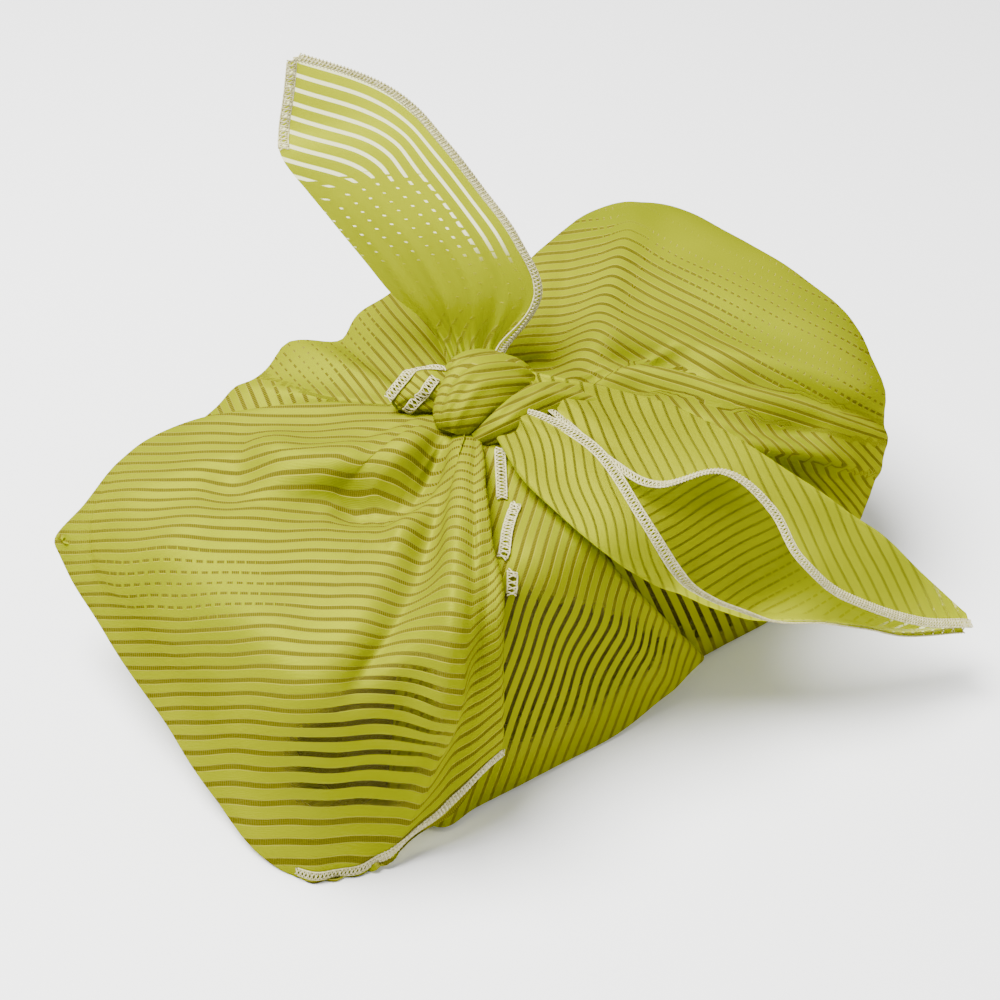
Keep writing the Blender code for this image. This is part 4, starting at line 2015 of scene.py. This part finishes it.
@dataclass
class Overlock:
    """Overlocked hems: slanting stitches over the edge with a chain on each side.

    Args:
        width: width of the hem in millimetres.
        pitch: distance from stitch to stitch in millimetres.
        thread: radius of the thread in millimetres.
        lift: height of a stitch's arc in millimetres.
        seat: height of the stitches' ends above the cloth in millimetres.
        chain_lift: the same of the chains.
        chain_share: radius of a chain as a share of the thread's.
        hems: the lines that are sewn.
    """

    width: float = 2.9
    pitch: float = 1.15
    thread: float = 0.24
    lift: float = 0.35
    seat: float = 0.15
    chain_lift: float = 0.2
    chain_share: float = 1.15
    hems: list[Hem] = field(default_factory=list)

    def resampled(self, hem: Hem) -> Hem:
        """Hem with a point at each stitch.

        Args:
            hem: the hem's line.

        Returns:
            The same line, evenly spaced.
        """
        run = run_length(hem.points[None], 1)[0]
        count = max(3, int(run[-1] / self.pitch))
        marks = np.linspace(0.0, run[-1], count)

        def read(values: np.ndarray) -> np.ndarray:
            """Values at the stitches."""
            return np.stack([np.interp(marks, run, values[:, k]) for k in range(3)], -1)

        normal = unit(read(hem.normal))
        if (normal @ VIEW_BACK).mean() < 0.0:
            normal = -normal
        return Hem(read(hem.points), unit(read(hem.inward)), normal)

    def stitch_tree(self, material: bpy.types.Material) -> bpy.types.NodeTree:
        """Geometry Nodes tree that sets a stitch on each point.

        Args:
            material: the thread's finish.

        Returns:
            The node group, with named inputs for the stitch's sizes.
        """
        tree = bpy.data.node_groups.new("overlock_stitches", "GeometryNodeTree")
        face = tree.interface
        face.new_socket("Geometry", in_out="INPUT", socket_type="NodeSocketGeometry")
        for label in ("Width", "Pitch", "Thread Radius"):
            face.new_socket(label, in_out="INPUT", socket_type="NodeSocketFloat")
        face.new_socket("Geometry", in_out="OUTPUT", socket_type="NodeSocketGeometry")

        def node(kind: str, **settings: object) -> bpy.types.Node:
            """Add a node with its properties."""
            item = tree.nodes.new(kind)
            for key, value in settings.items():
                setattr(item, key, value)
            return item

        link = tree.links.new
        start = node("NodeGroupInput")
        stop = node("NodeGroupOutput")
        join = node("GeometryNodeJoinGeometry")
        for near, far in ((0.0, 1.0), (1.0, 0.0)):
            ends = []
            for place, side in ((0.0, near), (1.0, far)):
                mix = node("ShaderNodeCombineXYZ")
                reach = node("ShaderNodeMath", operation="MULTIPLY")
                reach.inputs[1].default_value = place - 0.5
                link(start.outputs["Pitch"], reach.inputs[0])
                depth = node("ShaderNodeMath", operation="MULTIPLY")
                depth.inputs[1].default_value = side
                link(start.outputs["Width"], depth.inputs[0])
                link(reach.outputs[0], mix.inputs[0])
                link(depth.outputs[0], mix.inputs[1])
                ends.append(mix)
            crest = node("ShaderNodeVectorMath", operation="ADD")
            crest.inputs[1].default_value = (0.0, 0.0, 2.0 * self.lift * MM)
            halfway = node("ShaderNodeVectorMath", operation="SCALE")
            halfway.inputs["Scale"].default_value = 0.5
            total = node("ShaderNodeVectorMath", operation="ADD")
            link(ends[0].outputs[0], total.inputs[0])
            link(ends[1].outputs[0], total.inputs[1])
            link(total.outputs[0], halfway.inputs[0])
            link(halfway.outputs[0], crest.inputs[0])
            arc = node("GeometryNodeCurveQuadraticBezier")
            arc.inputs["Resolution"].default_value = 4
            link(ends[0].outputs[0], arc.inputs["Start"])
            link(crest.outputs[0], arc.inputs["Middle"])
            link(ends[1].outputs[0], arc.inputs["End"])
            link(arc.outputs[0], join.inputs[0])
        ring = node("GeometryNodeCurvePrimitiveCircle", mode="RADIUS")
        ring.inputs["Resolution"].default_value = TUBE_SIDES
        link(start.outputs["Thread Radius"], ring.inputs["Radius"])
        tube = node("GeometryNodeCurveToMesh")
        link(join.outputs[0], tube.inputs["Curve"])
        link(ring.outputs[0], tube.inputs["Profile Curve"])
        upright = node("FunctionNodeAlignRotationToVector", axis="Z")
        level = node("FunctionNodeAlignRotationToVector", axis="X", pivot_axis="Z")
        for name, turn in (("face_way", upright), ("hem_way", level)):
            read = node("GeometryNodeInputNamedAttribute", data_type="FLOAT_VECTOR")
            read.inputs["Name"].default_value = name
            link(read.outputs[0], turn.inputs["Vector"])
        link(upright.outputs[0], level.inputs["Rotation"])
        setter = node("GeometryNodeInstanceOnPoints")
        link(start.outputs["Geometry"], setter.inputs["Points"])
        link(tube.outputs[0], setter.inputs["Instance"])
        link(level.outputs[0], setter.inputs["Rotation"])
        real = node("GeometryNodeRealizeInstances")
        link(setter.outputs[0], real.inputs[0])
        dress = node("GeometryNodeSetMaterial")
        dress.inputs["Material"].default_value = material
        link(real.outputs[0], dress.inputs[0])
        link(dress.outputs[0], stop.inputs[0])
        return tree

    def build(self, shift: np.ndarray, material: bpy.types.Material) -> bpy.types.Object:
        """Make every hem's thread.

        Args:
            shift: from the tables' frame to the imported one, in millimetres.
            material: the thread's finish.

        Returns:
            One mesh object with all the stitches.
        """
        hems = [self.resampled(hem) for hem in self.hems]
        points = np.concatenate([hem.points + hem.normal * self.seat for hem in hems])
        normal = np.concatenate([hem.normal for hem in hems])
        inward = np.concatenate([hem.inward for hem in hems])
        hem_way = unit(np.cross(inward, normal))
        mesh = bpy.data.meshes.new("hem_points")
        mesh.from_pydata((points + shift) * MM, [], [])
        for name, values in (("face_way", normal), ("hem_way", hem_way)):
            store = mesh.attributes.new(name, "FLOAT_VECTOR", "POINT")
            store.data.foreach_set("vector", values.astype(np.float32).ravel())
        seeds = bpy.data.objects.new("hem_points", mesh)
        bpy.context.scene.collection.objects.link(seeds)
        tree = self.stitch_tree(material)
        sewing = seeds.modifiers.new("stitches", "NODES")
        sewing.node_group = tree
        sizes = {
            "Width": self.width * MM,
            "Pitch": self.pitch * MM,
            "Thread Radius": self.thread * MM,
        }
        for socket in tree.interface.items_tree:
            if socket.name in sizes:
                sewing[socket.identifier] = sizes[socket.name]
        reading = bpy.context.evaluated_depsgraph_get()
        sewn = bpy.data.meshes.new_from_object(seeds.evaluated_get(reading))
        bpy.data.objects.remove(seeds, do_unlink=True)
        sewn.name = "overlock_hem"
        item = bpy.data.objects.new("overlock_hem", sewn)
        bpy.context.scene.collection.objects.link(item)
        chains = [self.chain(hem, offset) for hem in hems for offset in (0.0, self.width)]
        self.append_tubes(item, chains, shift)
        item.data.shade_smooth()
        item.data.materials.clear()
        item.data.materials.append(material)
        return item

    def chain(self, hem: Hem, offset: float) -> np.ndarray:
        """Line of the chain thread at a distance in from the edge."""
        return hem.points + hem.inward * offset + hem.normal * self.chain_lift

    def append_tubes(
        self, item: bpy.types.Object, lines: Sequence[np.ndarray], shift: np.ndarray
    ) -> None:
        """Add a closed tube along each line to a mesh object.

        Args:
            item: the mesh object.
            lines: points of each line in millimetres.
            shift: from the tables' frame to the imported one, in millimetres.
        """
        old = item.data
        count = len(old.vertices)
        kept = np.zeros(count * 3, np.float32)
        old.vertices.foreach_get("co", kept)
        points = [kept.reshape(-1, 3)]
        faces = [tuple(face.vertices) for face in old.polygons]
        angles = np.linspace(0.0, 2.0 * np.pi, TUBE_SIDES, endpoint=False)
        for line in lines:
            way = unit(np.gradient(line, axis=0))
            side = unit(np.cross(way, (0.3, 0.2, 0.93)))
            up = np.cross(side, way)
            rings = line[:, None] + self.thread * self.chain_share * (
                side[:, None] * np.cos(angles)[None, :, None]
                + up[:, None] * np.sin(angles)[None, :, None]
            )
            points.append(((rings + shift) * MM).reshape(-1, 3))
            last = count + (len(line) - 1) * TUBE_SIDES
            for base in range(count, last, TUBE_SIDES):
                above = base + TUBE_SIDES
                for corner in range(TUBE_SIDES):
                    after = (corner + 1) % TUBE_SIDES
                    faces.append((base + corner, base + after, above + after, above + corner))
            faces.append(tuple(count + corner for corner in reversed(range(TUBE_SIDES))))
            faces.append(tuple(last + corner for corner in range(TUBE_SIDES)))
            count += len(line) * TUBE_SIDES
        mesh = bpy.data.meshes.new(item.name)
        mesh.from_pydata(np.concatenate(points), [], faces)
        item.data = mesh
        bpy.data.meshes.remove(old)


@dataclass
class GiftWrapCloth:
    """The whole cloth with its hems.

    Args:
        shift: from the tables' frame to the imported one, in millimetres.
    """

    shift: np.ndarray
    wrap: Wrap = field(default_factory=Wrap)
    flap: FrontFlap = field(default_factory=FrontFlap)
    wing: LeftWing = field(default_factory=LeftWing)
    standing_ear: StandingEar = field(default_factory=StandingEar)
    folded_ear: FoldedEar = field(default_factory=FoldedEar)
    knot: Knot = field(default_factory=Knot)
    overlock: Overlock = field(default_factory=Overlock)

    def build(self) -> tuple[bpy.types.Object, bpy.types.Object]:
        """Make the sheet and its hems.

        Returns:
            The cloth's object and the hem thread's object.
        """
        sheet = ClothMesh(self.shift)
        wrap = self.wrap.patch()
        flap = self.flap.patch()
        wing = self.wing.patch()
        standing = self.standing_ear.patch()
        folded = self.folded_ear.patch()
        bands = self.knot.patches()
        covers = [wrap, self.flap.rolled(flap), self.wing.rolled(wing)]
        covers += [self.wrap.inner_ply(wrap), self.wrap.underside(wrap), standing, folded]
        for patch in covers + bands:
            sheet.add(patch)
        foot = int(round(WING_FOOT * (self.wing.rows - 1)))
        self.overlock.hems += [bands[1].laid(line, 0.3) for line in LOBE_HEMS]
        self.overlock.hems += [flap.laid(line, 0.5) for line in SLOT_HEMS]
        self.overlock.hems += [
            standing.hem(Side.FIRST_COLUMN, 0.66, 1.0),
            standing.hem(Side.LAST_COLUMN, 0.06, 1.0),
            folded.hem(Side.FIRST_COLUMN, 0.06, 1.0),
            folded.hem(Side.LAST_COLUMN, 0.03, 1.0),
            wing.hem(Side.LAST_ROW, 0.60, 1.0, foot),
        ]
        cloth = sheet.build("wrap_cloth_sheet", StripedCloth().build())
        hems = self.overlock.build(self.shift, HEM_THREAD.build())
        return cloth, hems


@dataclass
class Studio:
    """Floor, light and camera.

    Args:
        floor_size: side of the floor in metres.
        key: place and size of the main light in metres, and its energy in watts.
        fill: the same of the weak light in front.
        world_strength: strength of the even light all round.
    """

    floor_size: float = 6.0
    key: tuple[Sequence[float], float, float] = ((-0.35, 0.25, 1.25), 0.8, 72.0)
    fill: tuple[Sequence[float], float, float] = ((0.9, -0.9, 0.8), 1.2, 8.0)
    world_strength: float = 0.50

    def floor(self) -> bpy.types.Object:
        """Lay the floor under the wrap.

        Returns:
            The floor's object.
        """
        half = 0.5 * self.floor_size
        mesh = bpy.data.meshes.new("studio_floor")
        corners = [(-half, -half, 0.0), (half, -half, 0.0), (half, half, 0.0), (-half, half, 0.0)]
        mesh.from_pydata(corners, [], [(0, 1, 2, 3)])
        mesh.materials.append(FloorFinish().build())
        floor = bpy.data.objects.new("studio_floor", mesh)
        bpy.context.scene.collection.objects.link(floor)
        return floor

    def lamp(self, name: str, place: Sequence[float], size: float, energy: float) -> None:
        """Hang an area light that faces the wrap.

        Args:
            name: the light's name.
            place: where it hangs, in metres.
            size: its width in metres.
            energy: its energy in watts.
        """
        light = bpy.data.lights.new(name, "AREA")
        light.shape = "DISK"
        light.size = size
        light.energy = energy
        lamp = bpy.data.objects.new(name, light)
        lamp.location = place
        way = Vector((0.0, 0.0, 0.05)) - lamp.location
        lamp.rotation_euler = way.to_track_quat("-Z", "Y").to_euler()
        bpy.context.scene.collection.objects.link(lamp)

    def world(self) -> None:
        """Surround the scene with even white light."""
        world = bpy.data.worlds.new("studio_world")
        world.use_nodes = True
        back = world.node_tree.nodes["Background"]
        back.inputs["Color"].default_value = (1.0, 1.0, 1.0, 1.0)
        back.inputs["Strength"].default_value = self.world_strength
        bpy.context.scene.world = world

    def camera(self, shift: np.ndarray) -> None:
        """Set the camera at the photograph's angle.

        Args:
            shift: from the tables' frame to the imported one, in millimetres.
        """
        lens = bpy.data.cameras.new("studio_camera")
        lens.lens = VIEW_LENS
        lens.sensor_width = VIEW_SENSOR
        lens.shift_x, lens.shift_y = VIEW_SHIFT
        camera = bpy.data.objects.new("studio_camera", lens)
        target = np.array(VIEW_TARGET) + shift
        camera.location = Vector((target + VIEW_BACK * VIEW_DISTANCE) * MM)
        way = Vector(target * MM) - camera.location
        camera.rotation_euler = way.to_track_quat("-Z", "Y").to_euler()
        bpy.context.scene.collection.objects.link(camera)
        bpy.context.scene.camera = camera

    def build(self, shift: np.ndarray) -> None:
        """Set up the whole studio.

        Args:
            shift: from the tables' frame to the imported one, in millimetres.
        """
        self.floor()
        self.world()
        self.lamp("key_light", *self.key)
        self.lamp("fill_light", *self.fill)
        self.camera(shift)


def frame_shift() -> np.ndarray:
    """Shift from the tables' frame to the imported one, from the box's node.

    Returns:
        The shift in millimetres.
    """
    low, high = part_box(BOX_NODE)
    centre = 0.5 * (np.array(low) + np.array(high)) / MM
    return centre - np.array(BOX_DESIGN_CENTRE)


def main() -> None:
    """Dress the part, report its pieces and set up the studio."""
    logging.basicConfig(level=logging.INFO, format="%(name)s: %(message)s")
    shift = frame_shift()
    cloth, hems = GiftWrapCloth(shift).build()
    for piece in (cloth, hems):
        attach(piece, BODY)
        LOG.info("%s has %d faces", piece.name, len(piece.data.polygons))
    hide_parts(CLOTH_NODE)
    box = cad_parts[BOX_NODE]
    box.data.materials.clear()
    box.data.materials.append(BOARD.build())
    LOG.info("%s keeps its solid", BOX_NODE)
    Studio().build(shift)


if __name__ == "__main__":
    main()
